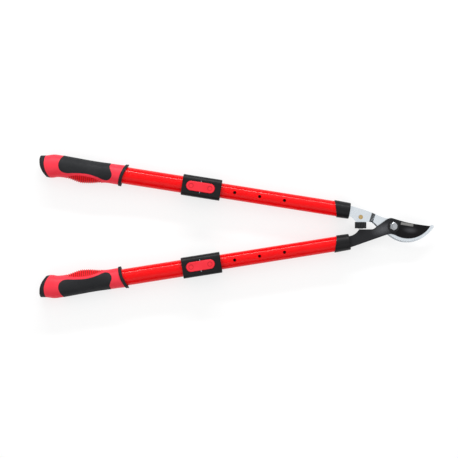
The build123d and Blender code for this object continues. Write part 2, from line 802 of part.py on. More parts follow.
def hook():
    """Forged hook and its arm: the arm steps down behind the blade, the jaw curves under it."""
    tip_top = (hook_reach - 5.6, 1.5)
    inner_lowest = -hook_depth + hook_width
    inner_y, inner_edge_r = edge_circle(tip_top[0], -inner_lowest, hook_middle + 2.5, tip_top[1])
    width, thickness = upper_tang
    rear = ferrule_front - tang_depth
    arm_top = on_axis(ferrule_front + 1.5, width / 2)
    arm_bottom = on_axis(ferrule_front + 1.5, -width / 2)
    seat_rear = bumper_x - bumper_r + 2.2
    seat_front = bumper_x + bumper_r - 0.2
    with BuildPart() as piece:
        with BuildSketch(flat(0)):
            with BuildLine():
                back = Spline(
                    arm_top,
                    (-55.3, 30.4),
                    (-32.2, 21.8),
                    (-15.7, 15.2),
                    (-3.0, 14.0),
                )
                inside = Spline(
                    back @ 1,
                    (6.5, 10.5),
                    (11.0, 0.0),
                    (14.5, -13.6),
                )
                inner = ThreePointArc(
                    inside @ 1,
                    (hook_middle + 22.0, inner_y - (inner_edge_r**2 - 19.5**2) ** 0.5),
                    tip_top,
                )
                tip = ThreePointArc(inner @ 1, (hook_reach - 1.6, 1.9), (hook_reach, -1.6))
                rim = Spline(
                    tip @ 1,
                    (65.0, -10.8),
                    (52.6, -20.6),
                    (38.9, -26.7),
                    (hook_middle, -hook_depth),
                    (9.2, -26.7),
                    (-3.2, -20.6),
                    (-11.0, -15.0),
                    (-22.0, -8.5),
                    (-31.5, 0.4),
                    (-37.8, 6.2),
                    (seat_front + 4.5, bumper_seat + 0.6),
                    (seat_front, bumper_seat),
                )
                Line(rim @ 1, (seat_rear, bumper_seat))
                Spline((seat_rear, bumper_seat), (-70.5, 12.0), arm_bottom)
                Line(arm_bottom, arm_top)
            make_face()
        extrude(amount=FAR / 4)
        with BuildSketch(level(-FAR / 4)):
            with Locations(((rear + ferrule_front + 2) / 2, 0)):
                Rectangle(ferrule_front + 2 - rear, width)
        extrude(amount=FAR / 2)
        arm_slant = radians(-17.5)
        side_plane = Plane(
            origin=(0, 0, 0),
            x_dir=(cos(arm_slant), sin(arm_slant), 0),
            z_dir=(sin(arm_slant), -cos(arm_slant), 0),
        )
        with BuildSketch(side_plane.offset(-FAR / 2)):
            with BuildLine():
                Polyline(
                    (-FAR, axis_height - tang_land / 2),
                    (-44.2, axis_height - tang_land / 2),
                    (-37.0, bolt_head_height),
                    (FAR, bolt_head_height),
                    (FAR, hook_top),
                    (-37.0, hook_top),
                    (-44.2, axis_height + tang_land / 2),
                    (-FAR, axis_height + tang_land / 2),
                    close=True,
                )
            make_face()
        extrude(amount=FAR, mode=Mode.INTERSECT)
        rim_edges = piece.faces().sort_by(Axis.Z).filter_by(Axis.Z).filter_by_position(
            Axis.Z, hook_top - 0.01, hook_top + 0.01
        )
        long_edges = rim_edges.edges().filter_by(GeomType.BSPLINE).sort_by(SortBy.LENGTH)
        chamfer(long_edges[-1], jaw_chamfer)
        for height in (axis_height + thickness / 2, axis_height - thickness / 2 - FAR / 4):
            with BuildSketch(flat(height)):
                with BuildLine():
                    step = Spline(
                        (bumper_x - 4.6, 0),
                        (bumper_x - 5.6, 14),
                        (bumper_x - 6.0, 24),
                        (bumper_x + 3.5, 36),
                    )
                    Polyline(step @ 1, (-FAR, FAR), (-FAR, 0), step @ 0)
                make_face()
            extrude(amount=FAR / 4, mode=Mode.SUBTRACT)
        with BuildSketch(flat(0)):
            Circle(shank_d / 2)
        extrude(amount=FAR, mode=Mode.SUBTRACT)
        with BuildSketch(flat(0)):
            with Locations((bumper_x, barrel_nut_y)):
                Circle(barrel_nut_d / 2)
        extrude(amount=FAR, mode=Mode.SUBTRACT)
        with BuildSketch(Plane(origin=(bumper_x, 0, axis_height), x_dir=(1, 0, 0), z_dir=(0, 1, 0))):
            Circle(bumper_screw_d / 2)
        extrude(amount=barrel_nut_y + barrel_nut_d / 2 + 1, mode=Mode.SUBTRACT)
        rivets = [on_axis(ferrule_front - setback, 0) for setback in rivet_setbacks]
        with BuildSketch(flat(0)):
            with Locations(*rivets):
                Circle(rivet_d / 2)
        extrude(amount=FAR, mode=Mode.SUBTRACT)
    return piece


def friction_washer():
    """Nylon washer between the hook's boss and the blade's."""
    with BuildPart() as piece:
        with BuildSketch(flat(hook_top)):
            Circle(washer_d / 2)
            Circle(shank_d / 2, mode=Mode.SUBTRACT)
        extrude(amount=friction_washer_height)
    return piece


washer_seat = blade_face - washer_recess
nut_seat = washer_seat + washer_height
nut_top = nut_seat + nut_height


def pivot_bolt():
    """Round-headed bolt from the back: a plain shank for the pivot and a thread for the nut."""
    with BuildPart() as piece:
        with BuildSketch(flat(0)):
            Circle(bolt_head_d / 2)
        extrude(amount=bolt_head_height)
        chamfer(piece.edges().group_by(Axis.Z)[0], 1.0)
        with BuildSketch(flat(bolt_head_height)):
            Circle(shank_d / 2)
        extrude(amount=washer_seat - bolt_head_height)
        with BuildSketch(flat(washer_seat)):
            Circle(thread_d / 2)
        extrude(amount=nut_top + nut_collar_height + 1.2 - washer_seat)
        chamfer(piece.edges().group_by(Axis.Z)[-1], 0.7)
    return piece


def nut_washer():
    """Hard black washer in the blade's recess, under the nut."""
    with BuildPart() as piece:
        with BuildSketch(flat(washer_seat)):
            Circle(washer_d / 2)
            Circle(thread_d / 2, mode=Mode.SUBTRACT)
        extrude(amount=washer_height)
        chamfer(piece.faces().sort_by(Axis.Z)[-1].edges().sort_by(SortBy.RADIUS)[-1], 0.4)
    return piece


def pivot_nut():
    """Lock nut with chamfered corners and a raised collar."""
    corner_r = nut_flats / 3**0.5
    with BuildPart() as piece:
        with BuildSketch(flat(nut_seat)):
            RegularPolygon(nut_flats / 2, 6, major_radius=False, rotation=30)
        extrude(amount=nut_height)
        with BuildSketch(Plane.XZ):
            with BuildLine():
                Polyline(
                    (0, nut_seat),
                    (corner_r, nut_seat),
                    (corner_r, nut_top - 1.0),
                    (nut_flats / 2 - 0.4, nut_top),
                    (0, nut_top),
                    close=True,
                )
            make_face()
        revolve(axis=Axis.Z, mode=Mode.INTERSECT)
        with BuildSketch(flat(nut_top)):
            Circle(nut_collar_d / 2)
        extrude(amount=nut_collar_height)
        chamfer(piece.edges().group_by(Axis.Z)[-1], 0.5)
        with BuildSketch(flat(nut_top)):
            Circle(nut_collar_d / 2 - 1.0)
        extrude(amount=nut_collar_height - 0.4, mode=Mode.SUBTRACT)
        with BuildSketch(flat(nut_seat)):
            Circle(thread_d / 2)
        extrude(amount=FAR, mode=Mode.SUBTRACT)
    return piece


def nut_insert():
    """Nylon ring in the nut's collar, which stops the nut working loose."""
    with BuildPart() as piece:
        with BuildSketch(flat(nut_top)):
            Circle(nut_collar_d / 2 - 1.0)
            Circle(thread_d / 2, mode=Mode.SUBTRACT)
        extrude(amount=nut_collar_height - 0.4)
    return piece


def bumper():
    """Fluted rubber buffer between the two arms."""
    foot = bumper_pad + bumper_gap
    with BuildPart() as piece:
        with BuildSketch(Plane(origin=(bumper_x, foot, axis_height), x_dir=(1, 0, 0), z_dir=(0, 1, 0))):
            Circle(bumper_r)
            with PolarLocations(bumper_r + flute_r / 3, flute_count, start_angle=15):
                Circle(flute_r, mode=Mode.SUBTRACT)
            Circle(bumper_screw_d / 2, mode=Mode.SUBTRACT)
        extrude(amount=bumper_seat - foot)
        with BuildSketch(Plane(origin=(bumper_x, foot, axis_height), x_dir=(1, 0, 0), z_dir=(0, 1, 0))):
            Circle(bumper_screw_head_d / 2)
        extrude(amount=bumper_screw_head_height - bumper_screw_proud, mode=Mode.SUBTRACT)
    return piece


def bumper_screw():
    """Screw through the bumper into the barrel nut."""
    head = bumper_pad + bumper_gap - bumper_screw_proud
    tip = barrel_nut_y + barrel_nut_d / 2
    with BuildPart() as piece:
        with BuildSketch(Plane(origin=(bumper_x, head, axis_height), x_dir=(1, 0, 0), z_dir=(0, 1, 0))):
            Circle(bumper_screw_head_d / 2)
        extrude(amount=bumper_screw_head_height)
        chamfer(piece.edges().group_by(Axis.Y)[0], 0.4)
        with BuildSketch(Plane(origin=(bumper_x, head, axis_height), x_dir=(1, 0, 0), z_dir=(0, 1, 0))):
            Circle(bumper_screw_d / 2)
        extrude(amount=tip - head)
    return piece


def barrel_nut():
    """Brass cross nut in the hook's arm, which the bumper's screw pulls on."""
    half = tang_land / 2
    with BuildPart() as piece:
        with BuildSketch(flat(axis_height - half)):
            with Locations((bumper_x, barrel_nut_y)):
                Circle(barrel_nut_d / 2)
        extrude(amount=tang_land)
        chamfer(piece.edges().filter_by(GeomType.CIRCLE), 0.5)
        with BuildSketch(flat(axis_height + half - 1.0)):
            with Locations((bumper_x, barrel_nut_y)):
                Circle(1.9)
        extrude(amount=1.0, mode=Mode.SUBTRACT)
        with BuildSketch(Plane(origin=(bumper_x, 0, axis_height), x_dir=(1, 0, 0), z_dir=(0, 1, 0))):
            Circle(bumper_screw_d / 2)
        extrude(amount=barrel_nut_y + barrel_nut_d / 2, mode=Mode.SUBTRACT)
    return piece


# ---------------------------------------------------------------- assembly


def handle_pieces():
    """Every piece that both handles have, drawn for the upper one."""
    form = grip_form()
    core = grip_form(shrink=soft_depth)
    inlay = grip_inlay(form, core)
    return {
        "inner_tube": inner_tube(),
        "outer_tube": outer_tube(),
        "glide_plug": glide_plug(),
        "tang_rivets": tang_rivets(),
        "lock_sleeve": lock_sleeve(),
        "guide_bush": guide_bush(),
        "sleeve_screw": sleeve_screw(),
        "lock_rocker": lock_rocker(),
        "rocker_pin": rocker_pin(),
        "lock_pin": lock_pin(),
        "lock_spring": lock_spring(),
        "grip_body": grip_body(form, core, inlay),
        "grip_inlay": inlay,
        "grip_collar": grip_collar(),
        "grip_end_cap": grip_end_cap(form),
    }


def mirrored(piece):
    """The same piece on the lower handle."""
    with BuildPart() as twin:
        mirror(piece.part, about=Plane.XZ)
    return twin


def all_pieces():
    """Every piece by its node's name."""
    pieces = {}
    for name, piece in handle_pieces().items():
        pieces["upper_" + name] = piece
        pieces["lower_" + name] = mirrored(piece)
    pieces["upper_ferrule"] = ferrule(upper_tang)
    pieces["lower_ferrule"] = mirrored(ferrule(lower_tang))
    pieces["upper_tang_plug"] = tang_plug(upper_tang)
    pieces["lower_tang_plug"] = mirrored(tang_plug(lower_tang))
    pieces["blade"] = blade()
    pieces["hook"] = hook()
    pieces["pivot_bolt"] = pivot_bolt()
    pieces["pivot_nut"] = pivot_nut()
    pieces["nut_insert"] = nut_insert()
    pieces["nut_washer"] = nut_washer()
    pieces["friction_washer"] = friction_washer()
    pieces["bumper"] = bumper()
    pieces["bumper_screw"] = bumper_screw()
    pieces["barrel_nut"] = barrel_nut()
    return pieces


os.makedirs("parts", exist_ok=True)
for node, piece in all_pieces().items():
    piece.part.label = node
    export_step(piece.part, f"parts/{node}.step")
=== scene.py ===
"""Telescopic bypass loppers, lying shut on a pale table under soft studio light."""

from __future__ import annotations

import json
import logging
import math
from collections.abc import Callable, Iterable, Iterator
from contextlib import contextmanager
from dataclasses import dataclass
from enum import Enum

import bmesh
import bpy
from mathutils import Matrix, Vector


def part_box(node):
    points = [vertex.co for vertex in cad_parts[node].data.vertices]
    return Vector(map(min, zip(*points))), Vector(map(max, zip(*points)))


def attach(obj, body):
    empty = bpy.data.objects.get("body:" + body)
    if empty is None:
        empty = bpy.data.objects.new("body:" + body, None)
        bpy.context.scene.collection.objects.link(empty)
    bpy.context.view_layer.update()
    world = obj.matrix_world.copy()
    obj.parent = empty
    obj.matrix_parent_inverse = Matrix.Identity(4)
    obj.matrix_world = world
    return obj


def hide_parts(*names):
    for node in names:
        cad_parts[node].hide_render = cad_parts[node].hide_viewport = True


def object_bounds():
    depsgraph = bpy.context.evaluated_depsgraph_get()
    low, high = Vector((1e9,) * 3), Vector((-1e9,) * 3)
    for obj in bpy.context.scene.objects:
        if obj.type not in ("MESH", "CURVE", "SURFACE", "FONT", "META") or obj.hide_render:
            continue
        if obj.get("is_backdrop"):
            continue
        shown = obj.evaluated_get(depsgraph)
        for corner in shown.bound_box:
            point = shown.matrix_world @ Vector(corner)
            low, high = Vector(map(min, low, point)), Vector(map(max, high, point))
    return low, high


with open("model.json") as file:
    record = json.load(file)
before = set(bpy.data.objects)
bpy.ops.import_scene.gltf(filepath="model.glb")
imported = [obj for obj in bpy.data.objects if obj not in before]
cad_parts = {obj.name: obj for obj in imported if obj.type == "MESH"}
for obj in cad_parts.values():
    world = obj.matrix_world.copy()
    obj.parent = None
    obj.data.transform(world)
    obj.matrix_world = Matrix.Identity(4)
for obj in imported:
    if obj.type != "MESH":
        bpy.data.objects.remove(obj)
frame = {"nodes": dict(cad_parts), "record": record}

MM = 0.001
Colour = tuple[float, float, float]
Place = tuple[float, float, float]
Point = tuple[float, float]
Span = tuple[float, float]
Piece = bpy.types.Object
Socket = bpy.types.NodeSocket

log = logging.getLogger("loppers")


def clamp(value: float) -> float:
    """Keeps a value from 0 to 1."""
    return min(max(value, 0.0), 1.0)


class Side(Enum):
    """The two handles: the upper one carries the hook, the lower one the blade."""

    UPPER = "upper"
    LOWER = "lower"

    @property
    def handle(self) -> str:
        """The body that the grip and the lock sleeve ride on."""
        return f"{self.value}_handle"

    def node(self, name: str) -> str:
        """The name of this handle's piece.

        Args:
            name: The piece's name without its side.

        Returns:
            The name of the node.
        """
        return f"{self.value}_{name}"


class Grain(Enum):
    """How the surface of a finish is broken up, and how fine that is, per metre."""

    PEEL = 420.0  # the soft ripple of sprayed paint
    STIPPLE = 3600.0  # the fine matt of a spark-eroded mould
    PEBBLE = 1500.0  # the small pebbles of soft rubber
    BRUSHED = 4500.0  # fine lines from a grinding belt


# ---------------------------------------------------------------- finishes


class NodeTree:
    """The node tree of a material or a sky, with short ways to add and join its nodes.

    Attributes:
        bump_strength: How strongly every relief shows.
    """

    bump_strength = 0.35

    def __init__(self, owner: bpy.types.Material | bpy.types.World) -> None:
        """Starts with the shader that a new material or sky has.

        Args:
            owner: The material or the sky.
        """
        owner.use_nodes = True
        self.tree = owner.node_tree
        sky = isinstance(owner, bpy.types.World)
        self.shader = self.tree.nodes["Background" if sky else "Principled BSDF"]
        self.place = self.add("ShaderNodeTexCoord").outputs["Generated" if sky else "Object"]

    def add(self, kind: str, **settings: object) -> bpy.types.Node:
        """Adds a node.

        Args:
            kind: The node's type.
            **settings: Its properties.

        Returns:
            The node.
        """
        node = self.tree.nodes.new(kind)
        for key, value in settings.items():
            setattr(node, key, value)
        return node

    def join(self, source: Socket, target: Socket) -> None:
        """Links two sockets."""
        self.tree.links.new(source, target)

    def stretched(self, turn: float, stretch: Place, at: Place = (0.0, 0.0, 0.0)) -> Socket:
        """The object's coordinates from a point, turned about Z and stretched.

        Args:
            turn: The turn in degrees.
            stretch: The scale along each turned axis.
            at: The point.

        Returns:
            The socket with the coordinates.
        """
        mapping = self.add("ShaderNodeMapping", vector_type="TEXTURE")
        mapping.inputs["Location"].default_value = at
        mapping.inputs["Rotation"].default_value = (0, 0, math.radians(turn))
        mapping.inputs["Scale"].default_value = stretch
        self.join(self.place, mapping.inputs["Vector"])
        return mapping.outputs["Vector"]

    def in_handle(self) -> Socket:
        """The object's coordinates in its handle's own frame, the same for both handles.

        Returns:
            The socket with the place along the tube, outward and up.
        """
        parts = self.add("ShaderNodeSeparateXYZ")
        self.join(self.place, parts.inputs[0])
        folded = self.add("ShaderNodeCombineXYZ")
        self.join(parts.outputs["X"], folded.inputs["X"])
        self.join(self.maths("ABSOLUTE", parts.outputs["Y"], 0.0), folded.inputs["Y"])
        self.join(parts.outputs["Z"], folded.inputs["Z"])
        place = HandleFrame().place(Side.UPPER, from_end=False)
        mapping = self.add("ShaderNodeMapping", vector_type="TEXTURE")
        mapping.inputs["Location"].default_value = place.translation
        mapping.inputs["Rotation"].default_value = place.to_euler()
        self.join(folded.outputs["Vector"], mapping.inputs["Vector"])
        return mapping.outputs["Vector"]

    def length(self, vector: Socket) -> Socket:
        """The length of a vector.

        Args:
            vector: The vector.

        Returns:
            The socket with its length.
        """
        node = self.add("ShaderNodeVectorMath", operation="LENGTH")
        self.join(vector, node.inputs[0])
        return node.outputs["Value"]

    def distance(self, place: Socket, centre: Place, stretch: Place) -> Socket:
        """The distance from a point, with each axis counted by its own measure.

        Args:
            place: The coordinates.
            centre: The point.
            stretch: How much each axis counts.

        Returns:
            The socket with the distance.
        """
        offset = self.add("ShaderNodeVectorMath", operation="SUBTRACT")
        self.join(place, offset.inputs[0])
        offset.inputs[1].default_value = centre
        scaled = self.add("ShaderNodeVectorMath", operation="MULTIPLY")
        self.join(offset.outputs["Vector"], scaled.inputs[0])
        scaled.inputs[1].default_value = stretch
        return self.length(scaled.outputs["Vector"])

    def noise(self, scale: float, detail: float = 2.0, place: Socket | None = None) -> Socket:
        """A noise value from 0 to 1.

        Args:
            scale: How fine it is, per metre.
            detail: How many finer layers it has.
            place: Its coordinates, or None for the object's own.

        Returns:
            The socket with the value.
        """
        node = self.add("ShaderNodeTexNoise")
        node.inputs["Scale"].default_value = scale
        node.inputs["Detail"].default_value = detail
        self.join(place or self.place, node.inputs["Vector"])
        return node.outputs["Fac"]

    def cells(self, scale: float) -> Socket:
        """The distance to the nearest of scattered points, which gives round cells with soft borders.

        Args:
            scale: How fine the cells are, per metre.

        Returns:
            The socket with the distance.
        """
        node = self.add("ShaderNodeTexVoronoi", feature="SMOOTH_F1")
        node.inputs["Scale"].default_value = scale
        self.join(self.place, node.inputs["Vector"])
        return node.outputs["Distance"]

    def spread(
        self, value: Socket, low: float, high: float, start: float = 0.3, end: float = 0.7
    ) -> Socket:
        """Maps a value from start..end to low..high, smoothly.

        Args:
            value: The value.
            low: The result at start.
            high: The result at end.
            start: Where the value begins to count.
            end: Where it stops counting.

        Returns:
            The socket with the result.
        """
        node = self.add("ShaderNodeMapRange", interpolation_type="SMOOTHSTEP")
        for key, number in (("From Min", start), ("From Max", end), ("To Min", low), ("To Max", high)):
            node.inputs[key].default_value = number
        self.join(value, node.inputs["Value"])
        return node.outputs["Result"]

    def maths(self, operation: str, first: Socket, second: Socket | float) -> Socket:
        """Works out one operation on two values.

        Args:
            operation: The Math node's operation.
            first: The first value.
            second: The second value.

        Returns:
            The socket with the result.
        """
        node = self.add("ShaderNodeMath", operation=operation)
        self.join(first, node.inputs[0])
        if isinstance(second, (int, float)):
            node.inputs[1].default_value = second
        else:
            self.join(second, node.inputs[1])
        return node.outputs[0]

    def blend(self, share: Socket, first: Colour | Socket, second: Colour | Socket) -> Socket:
        """Mixes two colours.

        Args:
            share: How much of the second colour there is.
            first: The first colour.
            second: The second colour.

        Returns:
            The socket with the colour.
        """
        node = self.add("ShaderNodeMix", data_type="RGBA")
        self.join(share, node.inputs["Factor"])
        # a Mix node's two colours are its inputs 6 and 7, and its mixed colour is output 2
        for socket, colour in ((node.inputs[6], first), (node.inputs[7], second)):
            if isinstance(colour, tuple):
                socket.default_value = (*colour, 1.0)
            else:
                self.join(colour, socket)
        return node.outputs[2]

    def raise_by(self, height: Socket, depth: float) -> None:
        """Gives the surface a relief.

        Args:
            height: The relief's height from 0 to 1.
            depth: Its full depth in metres.
        """
        bump = self.add("ShaderNodeBump")
        bump.inputs["Strength"].default_value = self.bump_strength
        bump.inputs["Distance"].default_value = depth
        self.join(height, bump.inputs["Height"])
        self.join(bump.outputs["Normal"], self.shader.inputs["Normal"])

    def paint(self, colour: Socket) -> None:
        """Gives the shader its colour."""
        self.join(colour, self.shader.inputs["Base Color"])

    def fix(self, **values: float | Colour) -> None:
        """Sets the shader's own sockets.

        Args:
            **values: Their values, by names with underscores for spaces.
        """
        for key, value in values.items():
            socket = self.shader.inputs[key.replace("_", " ")]
            socket.default_value = (*value, 1.0) if isinstance(value, tuple) else value


@dataclass(frozen=True)
class Finish:
    """One finish of the tool.

    Attributes:
        name: The finish's name.
        slot: The record's material slot it belongs to, or a key of its own.
        colour: Its colour.
        deep: The colour of its darker patches.
        roughness: Its lowest and highest roughness.
        metal: How metallic it is.
        grain: How its surface is broken up.
        relief: The depth of that relief in metres.
        shine: The specular level of its surface.
        turn: The direction of brushed lines in plan, in degrees.
        streak: How the grain is drawn out along those lines.
        patches: How fine the darker patches are, per metre.
        scuffs: How fine the duller places are, per metre.
        scuffed: From what noise value a place is duller, and where it is dullest.
    """

    name: str
    slot: str
    colour: Colour
    deep: Colour
    roughness: Span
    metal: float = 0.0
    grain: Grain = Grain.STIPPLE
    relief: float = 0.05 * MM
    shine: float = 0.3
    turn: float = 0.0
    streak: Place = (0.02, 1.0, 1.0)
    patches: float = 38.0
    scuffs: float = 160.0
    scuffed: Span = (0.35, 0.95)

    def height(self, nodes: NodeTree) -> Socket:
        """The relief of the finish's grain.

        Args:
            nodes: The material's nodes.

        Returns:
            The socket with the height.
        """
        fine = self.grain.value
        if self.grain is Grain.PEEL:
            return nodes.noise(fine, detail=1.5)
        if self.grain is Grain.PEBBLE:
            pebbles = nodes.spread(nodes.cells(fine), 1.0, 0.0, 0.1, 0.75)
            pores = nodes.noise(5200.0)
            return nodes.maths("ADD", pebbles, nodes.maths("MULTIPLY", pores, 0.35))
        if self.grain is Grain.BRUSHED:
            return nodes.noise(fine, detail=3.0, place=nodes.stretched(self.turn, self.streak))
        return nodes.noise(fine, detail=3.0)

    def make(self) -> bpy.types.Material:
        """Builds the material.

        Returns:
            The material.
        """
        material = bpy.data.materials.new(self.name)
        nodes = NodeTree(material)
        height = self.height(nodes)
        broad = nodes.maths("MULTIPLY", nodes.noise(self.patches, detail=4.0), 0.7)
        tone = nodes.maths("ADD", broad, nodes.maths("MULTIPLY", height, 0.3))
        colour = nodes.blend(nodes.spread(tone, 0.0, 1.0, 0.35, 0.7), self.colour, self.deep)
        nodes.paint(colour)
        scuffs = nodes.noise(self.scuffs, detail=5.0)
        wear = nodes.maths("ADD", scuffs, nodes.maths("MULTIPLY", height, 0.25))
        nodes.join(nodes.spread(wear, *self.roughness, *self.scuffed), nodes.shader.inputs["Roughness"])
        nodes.raise_by(height, self.relief)
        nodes.fix(Metallic=self.metal, Specular_IOR_Level=self.shine)
        self.detail(nodes, colour)
        return material

    def detail(self, nodes: NodeTree, colour: Socket) -> None:
        """Adds what only some finishes have.

        Args:
            nodes: The material's nodes.
            colour: The finish's colour so far.
        """


@dataclass(frozen=True)
class TubePaint(Finish):
    """Red paint outside the tubes, with near-black painted shade inside them.

    Attributes:
        inside: The colour of the painted shade inside the tubes.
        paint_r: How near the tubes' axes the paint reaches, in metres.
        soft: Half the width of the paint's fading edge.
    """

    inside: Colour = (0.006, 0.005, 0.005)
    paint_r: float = 13.2 * MM
    soft: float = 0.1 * MM

    def detail(self, nodes: NodeTree, colour: Socket) -> None:
        """Paints shade inside the tubes and in their lock holes.

        Args:
            nodes: The material's nodes.
            colour: The paint's colour.
        """
        radius = nodes.distance(nodes.in_handle(), (0.0, 0.0, 0.0), (0.0, 1.0, 1.0))
        # painted shade: near-black inside the tubes and their lock holes, where shade falls
        deep = nodes.spread(radius, 1.0, 0.0, self.paint_r - self.soft, self.paint_r + self.soft)
        nodes.paint(nodes.blend(deep, colour, self.inside))


@dataclass(frozen=True)
class RockerMoulding(Finish):
    """The button's red, with painted shade round its two thumb dimples.

    Attributes:
        shaded: The colour of the painted shade round the dimples.
        middle: The button's middle along the handle, in metres.
        apart: How far each dimple lies from the middle.
        dimple_r: The dimples' radius.
        rim: How wide the full and the fading shade are, on each side of that radius.
    """

    shaded: Colour = (0.50, 0.003, 0.012)
    middle: float = -352.2 * MM
    apart: float = 17.0 * MM
    dimple_r: float = 3.9 * MM
    rim: Span = (0.2 * MM, 1.0 * MM)

    def detail(self, nodes: NodeTree, colour: Socket) -> None:
        """Paints shade on the dimples' walls.

        Args:
            nodes: The material's nodes.
            colour: The moulding's colour.
        """
        place = nodes.in_handle()
        for side in (-1, 1):
            reach = nodes.distance(place, (self.middle + side * self.apart, 0.0, 0.0), (1.0, 1.0, 0.0))
            off = nodes.maths("ABSOLUTE", nodes.maths("SUBTRACT", reach, self.dimple_r), 0.0)
            # painted shade: a darker red ring on each dimple's wall
            colour = nodes.blend(nodes.spread(off, 0.75, 0.0, *self.rim), colour, self.shaded)
        nodes.paint(colour)


@dataclass(frozen=True)
class GripMoulding(Finish):
    """The grip's red, with painted shade over the finger ribs and darker painted shade in their grooves.

    Attributes:
        rib_shade: The colour of the painted shade over the ribbed patch.
        groove: The colour of the darker painted shade at the bottom of the grooves.
        layer: The mesh attribute that says where the painted shade goes: how ribbed a place is, and above a
            half how deep.
    """

    rib_shade: Colour = (0.92, 0.006, 0.016)
    groove: Colour = (0.42, 0.0, 0.002)
    layer: str = "ribbed"

    def detail(self, nodes: NodeTree, colour: Socket) -> None:
        """Paints shade over the ribbed patch, darker at the bottom of the grooves.

        Args:
            nodes: The material's nodes.
            colour: The moulding's colour.
        """
        share = nodes.add("ShaderNodeAttribute", attribute_name=self.layer).outputs["Fac"]
        # painted shade: a deeper red over the ribbed patch and a dark red in the grooves
        patch = nodes.blend(nodes.spread(share, 0.0, 1.0, 0.0, 0.5), colour, self.rib_shade)
        groove_shaded = nodes.blend(nodes.spread(share, 0.0, 1.0, 0.5, 1.0), patch, self.groove)
        nodes.paint(groove_shaded)


